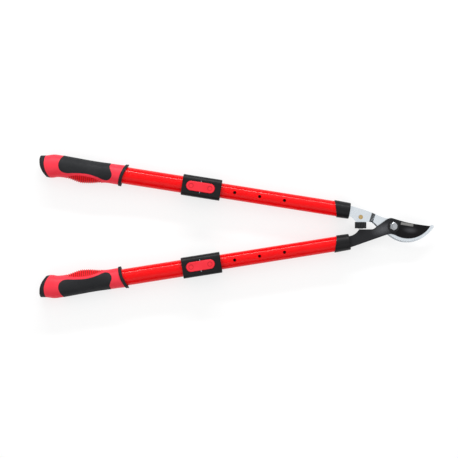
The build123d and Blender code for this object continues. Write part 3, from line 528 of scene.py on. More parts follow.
@dataclass(frozen=True)
class BladeCoat(Finish):
    """Non-stick coating: satin on the arm, glossy on the grind, with a plain panel along the spine, a painted
    highlight on the arm and a painted sheen on the grind.

    Places and sizes are in metres, and turns in plan are in degrees.

    Attributes:
        satin: The arm's colour.
        satin_dull: How much rougher the arm is than the grind.
        lines: How fine the arm's lines are, per metre.
        line_streak: How they are drawn out.
        painted_highlight: The colour of the painted highlight on the arm beside the pivot.
        painted_highlight_at: The middle of that patch.
        painted_highlight_size: Its reach along, across and up.
        arm_turn: Its turn, and that of the arm's fine lines.
        painted_sheen: The colour of the painted sheen in the middle of the grind.
        painted_sheen_at: The middle of that patch.
        painted_sheen_size: Its reach along, across and up.
        heel: Where the grind starts along its turned axis.
        heel_turn: That axis's turn.
        heel_soft: Half the width of the change there.
        panel: The satin panel's colour.
        panel_from: The panel's rear end along the spine.
        panel_to: Its front end.
        panel_axis: Its middle line across the spine's direction.
        panel_half: Half its width.
        panel_soft: Half the width of its fading edge.
        spine_turn: The spine's turn.
    """

    satin: Colour = (0.026, 0.027, 0.030)
    satin_dull: float = 0.16
    lines: float = 2600.0
    line_streak: Place = (0.06, 1.0, 1.0)
    painted_highlight: Colour = (0.125, 0.128, 0.138)
    painted_highlight_at: Place = (-19.0 * MM, -5.0 * MM, 17.1 * MM)
    painted_highlight_size: Place = (27.0 * MM, 13.0 * MM, 6.0 * MM)
    arm_turn: float = 20.0
    painted_sheen: Colour = (0.050, 0.051, 0.056)
    painted_sheen_at: Place = (30.5 * MM, -7.0 * MM, 15.6 * MM)
    painted_sheen_size: Place = (17.5 * MM, 8.0 * MM, 4.0 * MM)
    heel: float = 8.5 * MM
    heel_turn: float = -26.4
    heel_soft: float = 2.0 * MM
    panel: Colour = (0.215, 0.212, 0.205)
    panel_from: float = 12.0 * MM
    panel_to: float = 35.0 * MM
    panel_axis: float = 7.4 * MM
    panel_half: float = 2.4 * MM
    panel_soft: float = 0.7 * MM
    spine_turn: float = -9.0

    def detail(self, nodes: NodeTree, colour: Socket) -> None:
        """Adds the satin arm, the painted highlight and painted sheen patches, and the panel.

        Args:
            nodes: The material's nodes.
            colour: The coating's colour.
        """
        heel = self.along(nodes, self.heel_turn, "X")
        arm = nodes.spread(heel, 1.0, 0.0, self.heel - self.heel_soft, self.heel + self.heel_soft)
        lines = nodes.noise(self.lines, detail=3.0, place=nodes.stretched(self.arm_turn, self.line_streak))
        sheen = nodes.maths("MULTIPLY", arm, nodes.spread(lines, 0.25, 1.0, 0.3, 0.75))
        # painted highlight: a lighter patch on the arm beside the pivot, where a reflection falls
        painted_highlight = self.patch(nodes, self.painted_highlight_at, self.painted_highlight_size, self.arm_turn)
        painted_highlight = nodes.maths("MULTIPLY", sheen, painted_highlight)
        body = nodes.blend(painted_highlight, nodes.blend(sheen, colour, self.satin), self.painted_highlight)
        # painted sheen: a lighter patch in the middle of the grind
        painted_sheen = self.patch(nodes, self.painted_sheen_at, self.painted_sheen_size, self.spine_turn)
        body = nodes.blend(painted_sheen, body, self.painted_sheen)
        dull = nodes.maths("MULTIPLY", arm, self.satin_dull)
        wear = nodes.spread(nodes.noise(self.scuffs, detail=5.0), *self.roughness, *self.scuffed)
        nodes.join(nodes.maths("ADD", wear, dull), nodes.shader.inputs["Roughness"])
        nodes.paint(nodes.blend(self.in_panel(nodes), body, self.panel))

    def in_panel(self, nodes: NodeTree) -> Socket:
        """How much of the panel's colour a place has: only faces that look up have it.

        Args:
            nodes: The material's nodes.

        Returns:
            The socket with the share.
        """
        soft = self.panel_soft
        along = self.along(nodes, self.spine_turn, "X")
        start = nodes.spread(along, 0.0, 1.0, self.panel_from - soft, self.panel_from + soft)
        stop = nodes.spread(along, 1.0, 0.0, self.panel_to - 3 * soft, self.panel_to + soft)
        side = nodes.maths("SUBTRACT", self.along(nodes, self.spine_turn, "Y"), self.panel_axis)
        side = nodes.maths("ABSOLUTE", side, 0.0)
        inside = nodes.spread(side, 1.0, 0.0, self.panel_half - soft, self.panel_half + soft)
        facing = nodes.add("ShaderNodeSeparateXYZ")
        nodes.join(nodes.add("ShaderNodeNewGeometry").outputs["Normal"], facing.inputs[0])
        top = nodes.spread(facing.outputs["Z"], 0.0, 1.0, 0.5, 0.9)
        faded = nodes.spread(nodes.noise(500.0), 0.85, 1.0)
        share = start
        for factor in (stop, inside, top, faded):
            share = nodes.maths("MULTIPLY", share, factor)
        return share

    def patch(self, nodes: NodeTree, at: Place, size: Place, turn: float) -> Socket:
        """A soft-edged patch: 1 in its middle, 0 at its edge.

        Args:
            nodes: The material's nodes.
            at: The patch's middle.
            size: Its reach along each of its axes.
            turn: Its turn.

        Returns:
            How far inside the patch a place lies.
        """
        return nodes.spread(nodes.length(nodes.stretched(turn, size, at)), 1.0, 0.0, 0.0, 1.0)

    def along(self, nodes: NodeTree, turn: float, axis: str) -> Socket:
        """The distance along a turned axis.

        Args:
            nodes: The material's nodes.
            turn: The turn.
            axis: X or Y.

        Returns:
            The socket with the distance.
        """
        split = nodes.add("ShaderNodeSeparateXYZ")
        nodes.join(nodes.stretched(turn, (1.0, 1.0, 1.0)), split.inputs[0])
        return split.outputs[axis]


class Finishes:
    """Every finish of the tool, each made once."""

    def __init__(self) -> None:
        """Makes the materials."""
        made = (
            TubePaint(
                "red tube paint", "red_paint", (0.86, 0.002, 0.004), (0.80, 0.001, 0.003), (0.14, 0.22),
                grain=Grain.PEEL, relief=0.06 * MM, shine=0.16,
            ),
            GripMoulding(
                "red grip moulding", "red_grip", (0.88, 0.034, 0.062), (0.84, 0.026, 0.050), (0.42, 0.54),
                shine=0.25,
            ),
            RockerMoulding(
                "red rocker moulding", "red_button", (0.86, 0.024, 0.044), (0.80, 0.017, 0.033),
                (0.34, 0.46), relief=0.03 * MM,
            ),
            Finish(
                "black inlay rubber", "black_rubber", (0.021, 0.022, 0.024), (0.015, 0.016, 0.018),
                (0.5, 0.66), grain=Grain.PEBBLE, relief=0.12 * MM, shine=0.14,
            ),
            Finish(
                "black sleeve moulding", "black_plastic", (0.008, 0.008, 0.009), (0.005, 0.005, 0.006),
                (0.36, 0.5), relief=0.08 * MM, shine=0.18,
            ),
            Finish(
                "black bumper rubber", "bumper_rubber", (0.018, 0.019, 0.020), (0.012, 0.013, 0.014),
                (0.4, 0.5), relief=0.06 * MM, shine=0.25,
            ),
            BladeCoat(
                "black blade coating", "blade_black", (0.007, 0.007, 0.008), (0.003, 0.003, 0.004),
                (0.2, 0.32), relief=0.04 * MM, shine=0.12,
            ),
            Finish(
                "black oxide washer", "black_steel", (0.020, 0.020, 0.022), (0.012, 0.012, 0.013),
                (0.3, 0.42), metal=0.3, relief=0.03 * MM,
            ),
            Finish(
                "satin hook plating", "bright_steel", (0.86, 0.92, 0.97), (0.80, 0.86, 0.92), (0.2, 0.3),
                metal=1.0, grain=Grain.BRUSHED, relief=0.03 * MM, turn=-17.5,
            ),
            Finish(
                "zinc plated steel", "steel", (0.56, 0.58, 0.61), (0.40, 0.42, 0.45), (0.2, 0.34),
                metal=1.0, relief=0.03 * MM,
            ),
            Finish(
                "turned brass", "brass", (0.72, 0.52, 0.24), (0.52, 0.36, 0.15), (0.22, 0.36),
                metal=1.0, relief=0.03 * MM,
            ),
            Finish(
                "natural nylon", "nylon", (0.80, 0.79, 0.74), (0.72, 0.71, 0.66), (0.35, 0.5),
                relief=0.04 * MM,
            ),
        )
        self.materials = {finish.slot: finish.make() for finish in made}

    def dress(self, piece: Piece, slot: str) -> None:
        """Puts a finish on a piece.

        Args:
            piece: The piece.
            slot: The finish's slot.
        """
        material = self.materials[slot]
        if not piece.material_slots:
            piece.data.materials.append(material)
        for place in piece.material_slots:
            place.material = material


# ---------------------------------------------------------------- the bench


class Bench:
    """Modelling with Blender's own tools, one piece in hand at a time."""

    @staticmethod
    def hold(piece: Piece | None) -> None:
        """Takes one piece in hand, and nothing else.

        Args:
            piece: The piece, or None to let go of every one.
        """
        bpy.ops.object.select_all(action="DESELECT")
        bpy.context.view_layer.objects.active = piece
        if piece is not None:
            piece.select_set(True)

    @classmethod
    @contextmanager
    def editing(cls, piece: Piece) -> Iterator[None]:
        """Edit mode on one piece, with nothing selected at the start.

        Args:
            piece: The piece.

        Yields:
            Nothing.
        """
        cls.hold(piece)
        bpy.ops.object.mode_set(mode="EDIT")
        bpy.ops.mesh.select_all(action="DESELECT")
        try:
            yield
        finally:
            bpy.ops.object.mode_set(mode="OBJECT")

    @staticmethod
    def pick(piece: Piece, wanted: Callable[[bmesh.types.BMVert], bool]) -> None:
        """Selects some of a piece's vertices.

        Args:
            piece: The piece, in edit mode.
            wanted: Says of a vertex whether it is wanted.
        """
        bpy.ops.mesh.select_mode(type="VERT")
        bpy.ops.mesh.select_all(action="DESELECT")
        net = bmesh.from_edit_mesh(piece.data)
        for vertex in net.verts:
            vertex.select = wanted(vertex)
        net.select_flush_mode()
        bmesh.update_edit_mesh(piece.data)

    @staticmethod
    def face_out() -> None:
        """Turns every face of the piece in edit mode outwards."""
        bpy.ops.mesh.select_all(action="SELECT")
        bpy.ops.mesh.normals_make_consistent(inside=False)

    @classmethod
    def cylinder(cls, faces: int, radius: float, length: float, **place: Place) -> Piece:
        """Adds a cylinder.

        Args:
            faces: How many faces go round it.
            radius: Its radius in metres.
            length: Its length.
            **place: Its location and rotation.

        Returns:
            The cylinder.
        """
        cls.hold(None)
        bpy.ops.mesh.primitive_cylinder_add(vertices=faces, radius=radius, depth=length, **place)
        return bpy.context.object

    @classmethod
    def apply(cls, piece: Piece, kind: str, **settings: object) -> None:
        """Adds a modifier to a piece and applies it.

        Args:
            piece: The piece.
            kind: The modifier's type.
            **settings: Its properties.
        """
        cls.hold(piece)
        modifier = piece.modifiers.new(kind, kind)
        for key, value in settings.items():
            setattr(modifier, key, value)
        bpy.ops.object.modifier_apply(modifier=modifier.name)

    @classmethod
    def cut(cls, piece: Piece, tool: Piece, operation: str = "DIFFERENCE") -> None:
        """Cuts a piece with another solid, which is used up.

        Args:
            piece: The piece.
            tool: The cutting solid.
            operation: DIFFERENCE or INTERSECT.
        """
        cls.apply(piece, "BOOLEAN", operation=operation, object=tool, solver="EXACT")
        bpy.data.objects.remove(tool)

    @classmethod
    def soften(cls, piece: Piece, voxel: float, rounds: int) -> None:
        """Melts a cut solid into one skin with rounded edges.

        Args:
            piece: The piece.
            voxel: The size of the new skin's faces, in metres.
            rounds: How often the skin is smoothed.
        """
        cls.apply(piece, "REMESH", mode="VOXEL", voxel_size=voxel)
        cls.apply(piece, "SMOOTH", factor=0.5, iterations=rounds)
        cls.smooth(piece, angle=180.0)

    @classmethod
    def smooth(cls, piece: Piece, angle: float) -> None:
        """Shades a piece smooth, but for edges sharper than an angle in degrees."""
        cls.hold(piece)
        bpy.ops.object.shade_smooth_by_angle(angle=math.radians(angle))

    @staticmethod
    def copy(piece: Piece, name: str) -> Piece:
        """Copies a piece with its own mesh.

        Args:
            piece: The piece.
            name: The copy's name.

        Returns:
            The copy.
        """
        twin = piece.copy()
        twin.data = piece.data.copy()
        twin.name = twin.data.name = name
        bpy.context.scene.collection.objects.link(twin)
        return twin

    @classmethod
    def settle(cls, piece: Piece, place: Matrix) -> None:
        """Puts a piece in its place and leaves its object at the origin.

        Args:
            piece: The piece.
            place: Where it goes; a mirrored place turns its faces out again.
        """
        piece.matrix_world = place @ piece.matrix_world
        cls.hold(piece)
        bpy.ops.object.transform_apply(location=True, rotation=True, scale=True)
        if place.determinant() < 0:
            with cls.editing(piece):
                cls.face_out()


# ---------------------------------------------------------------- handles


@dataclass(frozen=True)
class HandleFrame:
    """Where the handles lie: x runs along the tube to the head, y outward, z up.

    Attributes:
        slant: Each tube's slant from the X axis, in degrees.
        offset: The pivot to each tube's axis, in metres.
        height: The tubes' axes above the origin.
        reach: The foot of the pivot's perpendicular to the handle's end.
    """

    slant: float = 9.0
    offset: float = 15.0 * MM
    height: float = 11.8 * MM
    reach: float = 644.0 * MM

    def place(self, side: Side, from_end: bool = True) -> Matrix:
        """The matrix from a handle's own frame to the tool's.

        Args:
            side: Which handle.
            from_end: Whether x is counted from the handle's end.

        Returns:
            The matrix.
        """
        slant = math.radians(self.slant)
        origin = Vector((self.offset * math.sin(slant), self.offset * math.cos(slant), self.height))
        place = Matrix.Translation(origin) @ Matrix.Rotation(-slant, 4, "Z")
        if from_end:
            place = place @ Matrix.Translation((-self.reach, 0, 0))
        if side is Side.LOWER:
            place = Matrix.Diagonal((1, -1, 1, 1)) @ place
        return place


@dataclass(frozen=True)
class PlanArc:
    """An arc in plan through three points, which bulges towards the handle's end.

    Attributes:
        outer: The point on the handle's outer side, in millimetres.
        middle: The point near its middle.
        inner: The point on its inner side.
        widest: How far to the side the arc is followed, in shares of its radius.
    """

    outer: Point
    middle: Point
    inner: Point
    widest: float = 0.985

    def centre(self) -> Place:
        """The circle through the three points.

        Returns:
            The centre's distance and side, and the radius.
        """
        (ax, ay), (bx, by), (cx, cy) = self.outer, self.middle, self.inner
        d = 2 * (ax * (by - cy) + bx * (cy - ay) + cx * (ay - by))
        a, b, c = ax**2 + ay**2, bx**2 + by**2, cx**2 + cy**2
        x = (a * (by - cy) + b * (cy - ay) + c * (ay - by)) / d
        y = (a * (cx - bx) + b * (ax - cx) + c * (bx - ax)) / d
        return x, y, math.hypot(ax - x, ay - y)

    def at(self, side: float) -> float:
        """The arc's distance from the handle's end.

        Args:
            side: The offset from the tube's axis, in millimetres.

        Returns:
            The distance in millimetres.
        """
        x, y, radius = self.centre()
        rise = min(abs(side - y), radius * self.widest)
        return x - math.sqrt(radius**2 - rise**2)


@dataclass(frozen=True)
class Grip:
    """The two-material grip: red moulding with finger ribs, black inlay, collar and end cap.

    Distances run forward from the handle's end, and all sizes are in millimetres.

    Attributes:
        tube_r: The outer tube's radius.
        sections: Distance, then wall over the tube on the outer edge, inner edge and faces.
        nose: The grip's front edge in plan.
        tail: Where the end cap starts.
        end: The end cap's rear edge.
        collar_width: The front collar's width.
        collar_proud: How far the collar stands out.
        inlay_proud: How far the inlay stands out.
        depth: The depth of the inlay and of the finger grooves.
        inlay_outline: The inlay's outline in plan.
        ribs: How many finger grooves there are.
        rib_pitch: Groove to groove.
        rib_first: The first groove's distance.
        rib_edge: The edge of the ribbed patch in plan, as sides and distances.
        rib_fade: How wide the fading edge of that patch is.
        rib_shape: The depth at each of a groove's rings, in shares of the full depth.
        rib_margin: How many rings as close as those lie before and after the ribs.
        rib_ends: How far the patch reaches before and after the grooves, in grooves.
        press_rounds: In how many rounds the grooves are pressed.
        cap_round: How far forward the end cap's rounding reaches.
        cap_fade: How wide that rounding's fading edge is.
        round: How many faces go round the grip.
        ring_gap: The least distance from a ring to the piece's first or last one.
        bend_reach: How far along a long piece its slanting ends reach, at most.
        bend_power: How quickly that slant fades.
        long_form: From what length a piece counts as long.
        seat: Where the outer tube's seat starts, and a place past its front.
        seat_faces: How many faces go round it.
        body_ring: How far apart the moulding's rings are, away from the ribs.
        inlay_ring: How far apart the inlay's rings are.
        cap_ring: How far apart the end cap's rings are.
        collar_ring: How far apart the collar's rings are.
        collar_rings: How many the collar has between its ends.
    """

    tube_r: float = 15.3
    sections: tuple[tuple[float, ...], ...] = (
        (-4.0, -4.3, 9.6, 0.2),
        (10.0, -1.8, 9.8, 1.8),
        (23.0, 1.9, 8.8, 2.8),
        (36.0, 2.4, 6.4, 2.8),
        (52.0, 2.1, 6.0, 2.6),
        (77.0, 1.5, 10.5, 2.6),
        (88.0, 1.2, 9.7, 2.5),
        (99.0, 1.1, 8.1, 2.4),
        (110.0, 1.2, 5.6, 2.3),
        (124.0, 1.6, 3.2, 2.2),
        (144.0, 2.3, 3.3, 2.5),
        (160.0, 3.6, 3.6, 3.4),
    )
    nose: PlanArc = PlanArc((154.0, 20.5), (146.2, -1.0), (145.2, -21.0))
    tail: PlanArc = PlanArc((9.2, 13.0), (9.6, -4.0), (23.5, -25.5))
    end: PlanArc = PlanArc((-0.6, 12.0), (0.5, -2.2), (16.9, -25.2))
    collar_width: float = 5.4
    collar_proud: float = 1.9
    inlay_proud: float = 0.35
    depth: float = 1.3
    inlay_outline: tuple[Point, ...] = (
        (40.4, 17.0),
        (36.6, 10.2),
        (34.9, 2.4),
        (36.0, -4.6),
        (40.6, -10.4),
        (49.0, -12.9),
        (64.2, -10.9),
        (78.0, -9.3),
        (92.0, -9.0),
        (106.0, -11.2),
        (118.0, -14.3),
        (126.0, -13.6),
        (130.6, -9.4),
        (132.0, -3.0),
        (128.6, 5.0),
        (126.0, 10.4),
        (127.0, 16.5),
        (128.0, 30.0),
        (40.4, 30.0),
    )
    ribs: int = 17
    rib_pitch: float = 3.65
    rib_first: float = 53.2
    rib_edge: PlanArc = PlanArc((-19.4, 50.0), (-12.5, 84.0), (-18.2, 118.0))
    rib_fade: float = 1.4
    rib_shape: tuple[float, ...] = (0.4, 1.0, 1.0, 1.0, 0.4, 0.0, 0.0, 0.0)
    rib_margin: int = 12
    rib_ends: Span = (1.0, 0.6)
    press_rounds: int = 4
    cap_round: float = 5.5
    cap_fade: float = 1.5
    round: int = 112
    ring_gap: float = 0.2
    bend_reach: float = 34.0
    bend_power: float = 1.5
    long_form: float = 60.0
    seat: Span = (32.0, 200.0)
    seat_faces: int = 96
    body_ring: float = 1.6
    inlay_ring: float = 1.5
    cap_ring: float = 1.2
    collar_ring: float = 0.75
    collar_rings: int = 5

    def walls(self, distance: float) -> Place:
        """The grip's section at a distance, by a smooth curve through the sections.

        Args:
            distance: The distance from the handle's end.

        Returns:
            The outer edge, the inner edge and the half height, from the tube's axis.
        """
        table = self.sections
        k = max(i for i in range(len(table) - 1) if i == 0 or table[i][0] <= distance)
        x0, x1 = table[k][0], table[k + 1][0]
        t = clamp((distance - x0) / (x1 - x0))

        def slope(i: int, axis: int) -> float:
            """How steeply one column changes at a section."""
            low, high = max(i - 1, 0), min(i + 1, len(table) - 1)
            return (table[high][axis] - table[low][axis]) / (table[high][0] - table[low][0])

        def value(axis: int) -> float:
            """One column's value at the distance, on a cubic curve.

            Args:
                axis: The column.

            Returns:
                The value in millimetres.
            """
            a, b = table[k][axis], table[k + 1][axis]
            m, n = slope(k, axis) * (x1 - x0), slope(k + 1, axis) * (x1 - x0)
            cube = 2 * t**3 - 3 * t**2
            return (cube + 1) * a + (t**3 - 2 * t**2 + t) * m - cube * b + (t**3 - t**2) * n

        return tuple(self.tube_r + value(axis) for axis in (1, 2, 3))

    def form(
        self, start: PlanArc, stop: PlanArc, proud: float, steps: Iterable[float], shift: float = 0.0
    ) -> Piece:
        """The grip's outer form between two arcs, drawn ring by ring along the handle.

        Args:
            start: The arc that the first ring follows.
            stop: The arc that the last ring follows.
            proud: How far outside the grip's own surface it lies.
            steps: The rings' distances; those outside the piece are left out.
            shift: How far forward the second arc is moved.

        Returns:
            The closed solid.
        """
        first, last = start.at(0.0), stop.at(0.0) + shift
        inner = sorted(d for d in steps if first + self.ring_gap < d < last - self.ring_gap)
        sizes = []
        for distance in (first, *inner, last):
            outside, inside, face = self.walls(distance)
            sizes.append((distance, (outside - inside) / 2, (outside + inside) / 2 + proud, face + proud))
        x, y, wide, tall = sizes[0]
        Bench.hold(None)
        turned = (0, math.pi / 2, 0)
        bpy.ops.mesh.primitive_circle_add(
            vertices=self.round, radius=MM, fill_type="NGON", location=(0, 0, 0), rotation=turned
        )
        piece = bpy.context.object
        bpy.ops.object.transform_apply(rotation=True)
        bpy.ops.object.mode_set(mode="EDIT")
        bpy.ops.mesh.select_all(action="SELECT")
        bpy.ops.transform.resize(value=(1, wide, tall), center_override=(0, 0, 0))
        bpy.ops.transform.translate(value=(x * MM, y * MM, 0))
        for (x0, y0, w0, t0), (x1, y1, w1, t1) in zip(sizes, sizes[1:]):
            bpy.ops.mesh.extrude_region_move(
                TRANSFORM_OT_translate={"value": ((x1 - x0) * MM, (y1 - y0) * MM, 0)}
            )
            bpy.ops.transform.resize(value=(1, w1 / w0, t1 / t0), center_override=(x1 * MM, y1 * MM, 0))
        Bench.face_out()
        bpy.ops.object.mode_set(mode="OBJECT")
        self.slant_ends(piece, start, stop, first, last)
        return piece

    def slant_ends(self, piece: Piece, start: PlanArc, stop: PlanArc, first: float, last: float) -> None:
        """Moves a form's rings along the handle, so that its ends follow their arcs.

        Args:
            piece: The form.
            start: The arc of its rear end.
            stop: The arc of its front end.
            first: The rear end's distance on the tube's axis.
            last: The front end's distance there.
        """
        span = last - first
        is_long = span > self.long_form
        reach = min(self.bend_reach, span / 2) if is_long else span
        power = self.bend_power if is_long else 1.0
        for vertex in piece.data.vertices:
            distance, side = vertex.co.x / MM, vertex.co.y / MM
            near_start = max(0.0, 1 - (distance - first) / reach) ** power
            near_stop = max(0.0, 1 - (last - distance) / reach) ** power
            pull = near_start * (start.at(side) - start.at(0.0))
            push = near_stop * (stop.at(side) - stop.at(0.0))
            vertex.co.x += (pull + push) * MM

    def evenly(self, spacing: float) -> list[float]:
        """Even distances from the handle's end to past the grip's front."""
        return [k * spacing for k in range(round(self.sections[-1][0] / spacing))]

    def tube_rod(self) -> Piece:
        """A rod as thick as the outer tube and in its place, for cutting its seat.

        Returns:
            The rod.
        """
        low, high = self.seat
        return Bench.cylinder(
            self.seat_faces,
            self.tube_r * MM,
            (high - low) * MM,
            location=((low + high) / 2 * MM, 0, 0),
            rotation=(0, math.pi / 2, 0),
        )

    def body(self) -> Piece:
        """Models the red moulding with its finger grooves.

        Returns:
            The piece in the handle's own frame.
        """
        ring = self.rib_pitch / len(self.rib_shape)
        count = self.ribs * len(self.rib_shape) + 2 * self.rib_margin
        low = self.rib_first - self.rib_margin * ring
        fine = [low + k * ring for k in range(count + 1)]
        apart = self.body_ring / 2
        plain = [d for d in self.evenly(self.body_ring) if not low - apart <= d <= fine[-1] + apart]
        piece = self.form(self.tail, self.nose, 0.0, plain + fine)
        Bench.smooth(piece, angle=180.0)
        self.press_ribs(piece)
        Bench.cut(piece, self.tube_rod())
        Bench.smooth(piece, angle=50.0)
        return piece

    def ribbed(self, distance: float, side: float) -> float:
        """How far inside the ribbed patch a place is, across the handle.

        Args:
            distance: The distance from the handle's end.
            side: The offset from the tube's axis.

        Returns:
            The share, from 0 to 1.
        """
        x, y, radius = self.rib_edge.centre()
        edge = x + math.sqrt(max(radius**2 - (distance - y) ** 2, 0.0))
        return clamp((edge - side) / self.rib_fade)

    def groove(self, turn: float) -> float:
        """How deep the grooves are, along the handle.

        Args:
            turn: The distance from the first groove, in grooves.

        Returns:
            The share of the full depth.
        """
        slack = 0.05
        if not -slack < turn < self.ribs - 0.5 + slack:
            return 0.0
        ring = round((turn - math.floor(turn + slack)) * len(self.rib_shape))
        return self.rib_shape[ring % len(self.rib_shape)]

    def press_ribs(self, piece: Piece) -> None:
        """Presses the finger grooves into the moulding, and notes where their painted shade goes.

        Args:
            piece: The moulding.
        """
        layer = piece.data.attributes.new(GripMoulding.layer, "FLOAT", "POINT")
        depths = []
        for vertex in piece.data.vertices:
            distance, side = vertex.co.x / MM, vertex.co.y / MM
            turn = (distance - self.rib_first) / self.rib_pitch
            across = self.ribbed(distance, side)
            depths.append(self.groove(turn) * across)
            patch = clamp(turn + self.rib_ends[0]) * clamp(self.ribs + self.rib_ends[1] - turn) * across
            # where the painted shade goes: half on the ribbed patch, up to full at the groove floors
            layer.data[vertex.index].value = (patch + depths[-1]) / 2
        with Bench.editing(piece):
            for step in range(self.press_rounds):
                least = (step + 0.5) / self.press_rounds
                Bench.pick(piece, lambda vertex: depths[vertex.index] > least)
                bpy.ops.transform.shrink_fatten(value=-self.depth / self.press_rounds * MM)

    def inlay(self) -> Piece:
        """Models the soft black inlay, wrapped round the grip's outer side.

        Returns:
            The piece in the handle's own frame.
        """
        steps = self.evenly(self.inlay_ring)
        piece = self.form(self.tail, self.nose, self.inlay_proud, steps)
        core = self.form(self.tail, self.nose, -self.depth, steps)
        Bench.cut(piece, self.outline_prism(), "INTERSECT")
        Bench.cut(piece, core)
        Bench.soften(piece, voxel=0.5 * MM, rounds=7)
        return piece

    def outline_prism(self) -> Piece:
        """The inlay's outline in plan as a tall block.

        Returns:
            The block.
        """
        half = 30 * MM
        curve = bpy.data.curves.new("inlay outline", "CURVE")
        curve.dimensions = "2D"
        curve.fill_mode = "BOTH"
        curve.resolution_u = 10
        spline = curve.splines.new("BEZIER")
        spline.bezier_points.add(len(self.inlay_outline) - 1)
        square = (0, len(self.inlay_outline) - 2, len(self.inlay_outline) - 1)
        for k, (point, (x, y)) in enumerate(zip(spline.bezier_points, self.inlay_outline)):
            point.co = (x * MM, y * MM, -half)
            point.handle_left_type = point.handle_right_type = "VECTOR" if k in square else "AUTO"
        spline.use_cyclic_u = True
        block = bpy.data.objects.new("inlay outline", curve)
        bpy.context.scene.collection.objects.link(block)
        Bench.hold(block)
        bpy.ops.object.convert(target="MESH")
        block = bpy.context.object
        with Bench.editing(block):
            bpy.ops.mesh.select_all(action="SELECT")
            bpy.ops.mesh.remove_doubles(threshold=0.01 * MM)
            bpy.ops.mesh.extrude_region_move(TRANSFORM_OT_translate={"value": (0, 0, 2 * half)})
            Bench.face_out()
        return block

    def collar(self) -> Piece:
        """Models the black bead round the grip's front edge.

        Returns:
            The piece in the handle's own frame.
        """
        steps = [self.nose.at(0.0) + (k + 1) * self.collar_ring for k in range(self.collar_rings)]
        piece = self.form(self.nose, self.nose, self.collar_proud, steps, shift=self.collar_width)
        Bench.cut(piece, self.tube_rod())
        Bench.soften(piece, voxel=0.4 * MM, rounds=8)
        return piece

    def cap(self) -> Piece:
        """Models the black end cap, with its rear edge well rounded.

        Returns:
            The piece in the handle's own frame.
        """
        piece = self.form(self.end, self.tail, 0.0, self.evenly(self.cap_ring))
        Bench.soften(piece, voxel=0.45 * MM, rounds=6)
        rear = piece.vertex_groups.new(name="rear")
        for vertex in piece.data.vertices:
            ahead = vertex.co.x / MM - self.end.at(vertex.co.y / MM)
            rear.add([vertex.index], clamp((self.cap_round - ahead) / self.cap_fade), "REPLACE")
        Bench.apply(piece, "SMOOTH", factor=0.5, iterations=60, vertex_group=rear.name)
        return piece

    def build(self, finishes: Finishes, handles: HandleFrame) -> None:
        """Models each piece once and puts it on both handles.

        Args:
            finishes: The tool's finishes.
            handles: Where the handles lie.
        """
        made = (
            ("grip_body", self.body(), "red_grip"),
            ("grip_inlay", self.inlay(), "black_rubber"),
            ("grip_collar", self.collar(), "black_rubber"),
            ("grip_end_cap", self.cap(), "black_rubber"),
        )
        for name, master, slot in made:
            for side in Side:
                piece = Bench.copy(master, side.node(f"{name}_moulding"))
                Bench.settle(piece, handles.place(side))
                finishes.dress(piece, slot)
                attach(piece, side.handle)
                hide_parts(side.node(name))
                log.info("%s: %d faces", piece.name, len(piece.data.polygons))
            bpy.data.objects.remove(master)


@dataclass(frozen=True)
class Bumper:
    """The fluted rubber buffer between the arms. Sizes are in millimetres.

    Attributes:
        radius: Its radius over the flutes.
        flutes: How many flutes it has.
        flute_depth: How deep they are.
        flute_widths: Half a flute's width at its rim and at its floor, in shares of the pitch.
        flute_faces: How many faces there are to a flute.
        head_r: The radius of the screw head's recess.
        recess: The depth of that recess.
        recess_faces: How many faces go round it.
        edge: The rounding of its ends.
    """

    radius: float = 10.4
    flutes: int = 12
    flute_depth: float = 1.5
    flute_widths: Span = (0.26, 0.14)
    flute_faces: int = 8
    head_r: float = 4.7
    recess: float = 2.6
    recess_faces: int = 64
    edge: float = 0.7

    def build(self, finishes: Finishes) -> None:
        """Models the buffer and puts it in place of its plain solid.

        Args:
            finishes: The tool's finishes.
        """
        low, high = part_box("bumper")
        length = high.y - low.y
        pitch = 2 * math.pi / self.flutes
        share = 1 - self.flute_depth / self.radius / 2

        def off_flute(vertex: bmesh.types.BMVert) -> float:
            """How far round a vertex lies from the nearest flute's middle, in flutes."""
            turn = math.atan2(vertex.co.y, vertex.co.x) / pitch
            return abs(turn - round(turn))

        piece = Bench.cylinder(self.flutes * self.flute_faces, self.radius * MM, length, location=(0, 0, 0))
        with Bench.editing(piece):
            for width in self.flute_widths:
                Bench.pick(piece, lambda vertex: off_flute(vertex) < width)
                bpy.ops.transform.resize(value=(share, share, 1), center_override=(0, 0, 0))
        sharp = math.radians(60.0)
        Bench.apply(
            piece, "BEVEL", width=self.edge * MM, segments=4, limit_method="ANGLE", angle_limit=sharp
        )
        deep = 2 * self.recess * MM
        recess = Bench.cylinder(self.recess_faces, self.head_r * MM, deep, location=(0, 0, -length / 2))
        Bench.cut(piece, recess)
        piece.name = piece.data.name = "bumper_rubber"
        Bench.smooth(piece, angle=38.0)
        Bench.settle(piece, Matrix.Translation((low + high) / 2) @ Matrix.Rotation(-math.pi / 2, 4, "X"))
        finishes.dress(piece, "bumper_rubber")
        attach(piece, "hook_half")
        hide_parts("bumper")
        log.info("%s: %d faces", piece.name, len(piece.data.polygons))


class ReadyMade:
    """The pieces that come ready made, which only need their finish."""

    def dress(self, finishes: Finishes) -> None:
        """Puts each ready-made piece's finish on it.

        Args:
            finishes: The tool's finishes.
        """
        slots = {part["node"]: part["material_slot"] for part in frame["record"]["subparts"]}
        for name, node in frame["nodes"].items():
            finishes.dress(node, slots[name])
            log.info("%s: finished in %s", name, slots[name])


# ---------------------------------------------------------------- studio


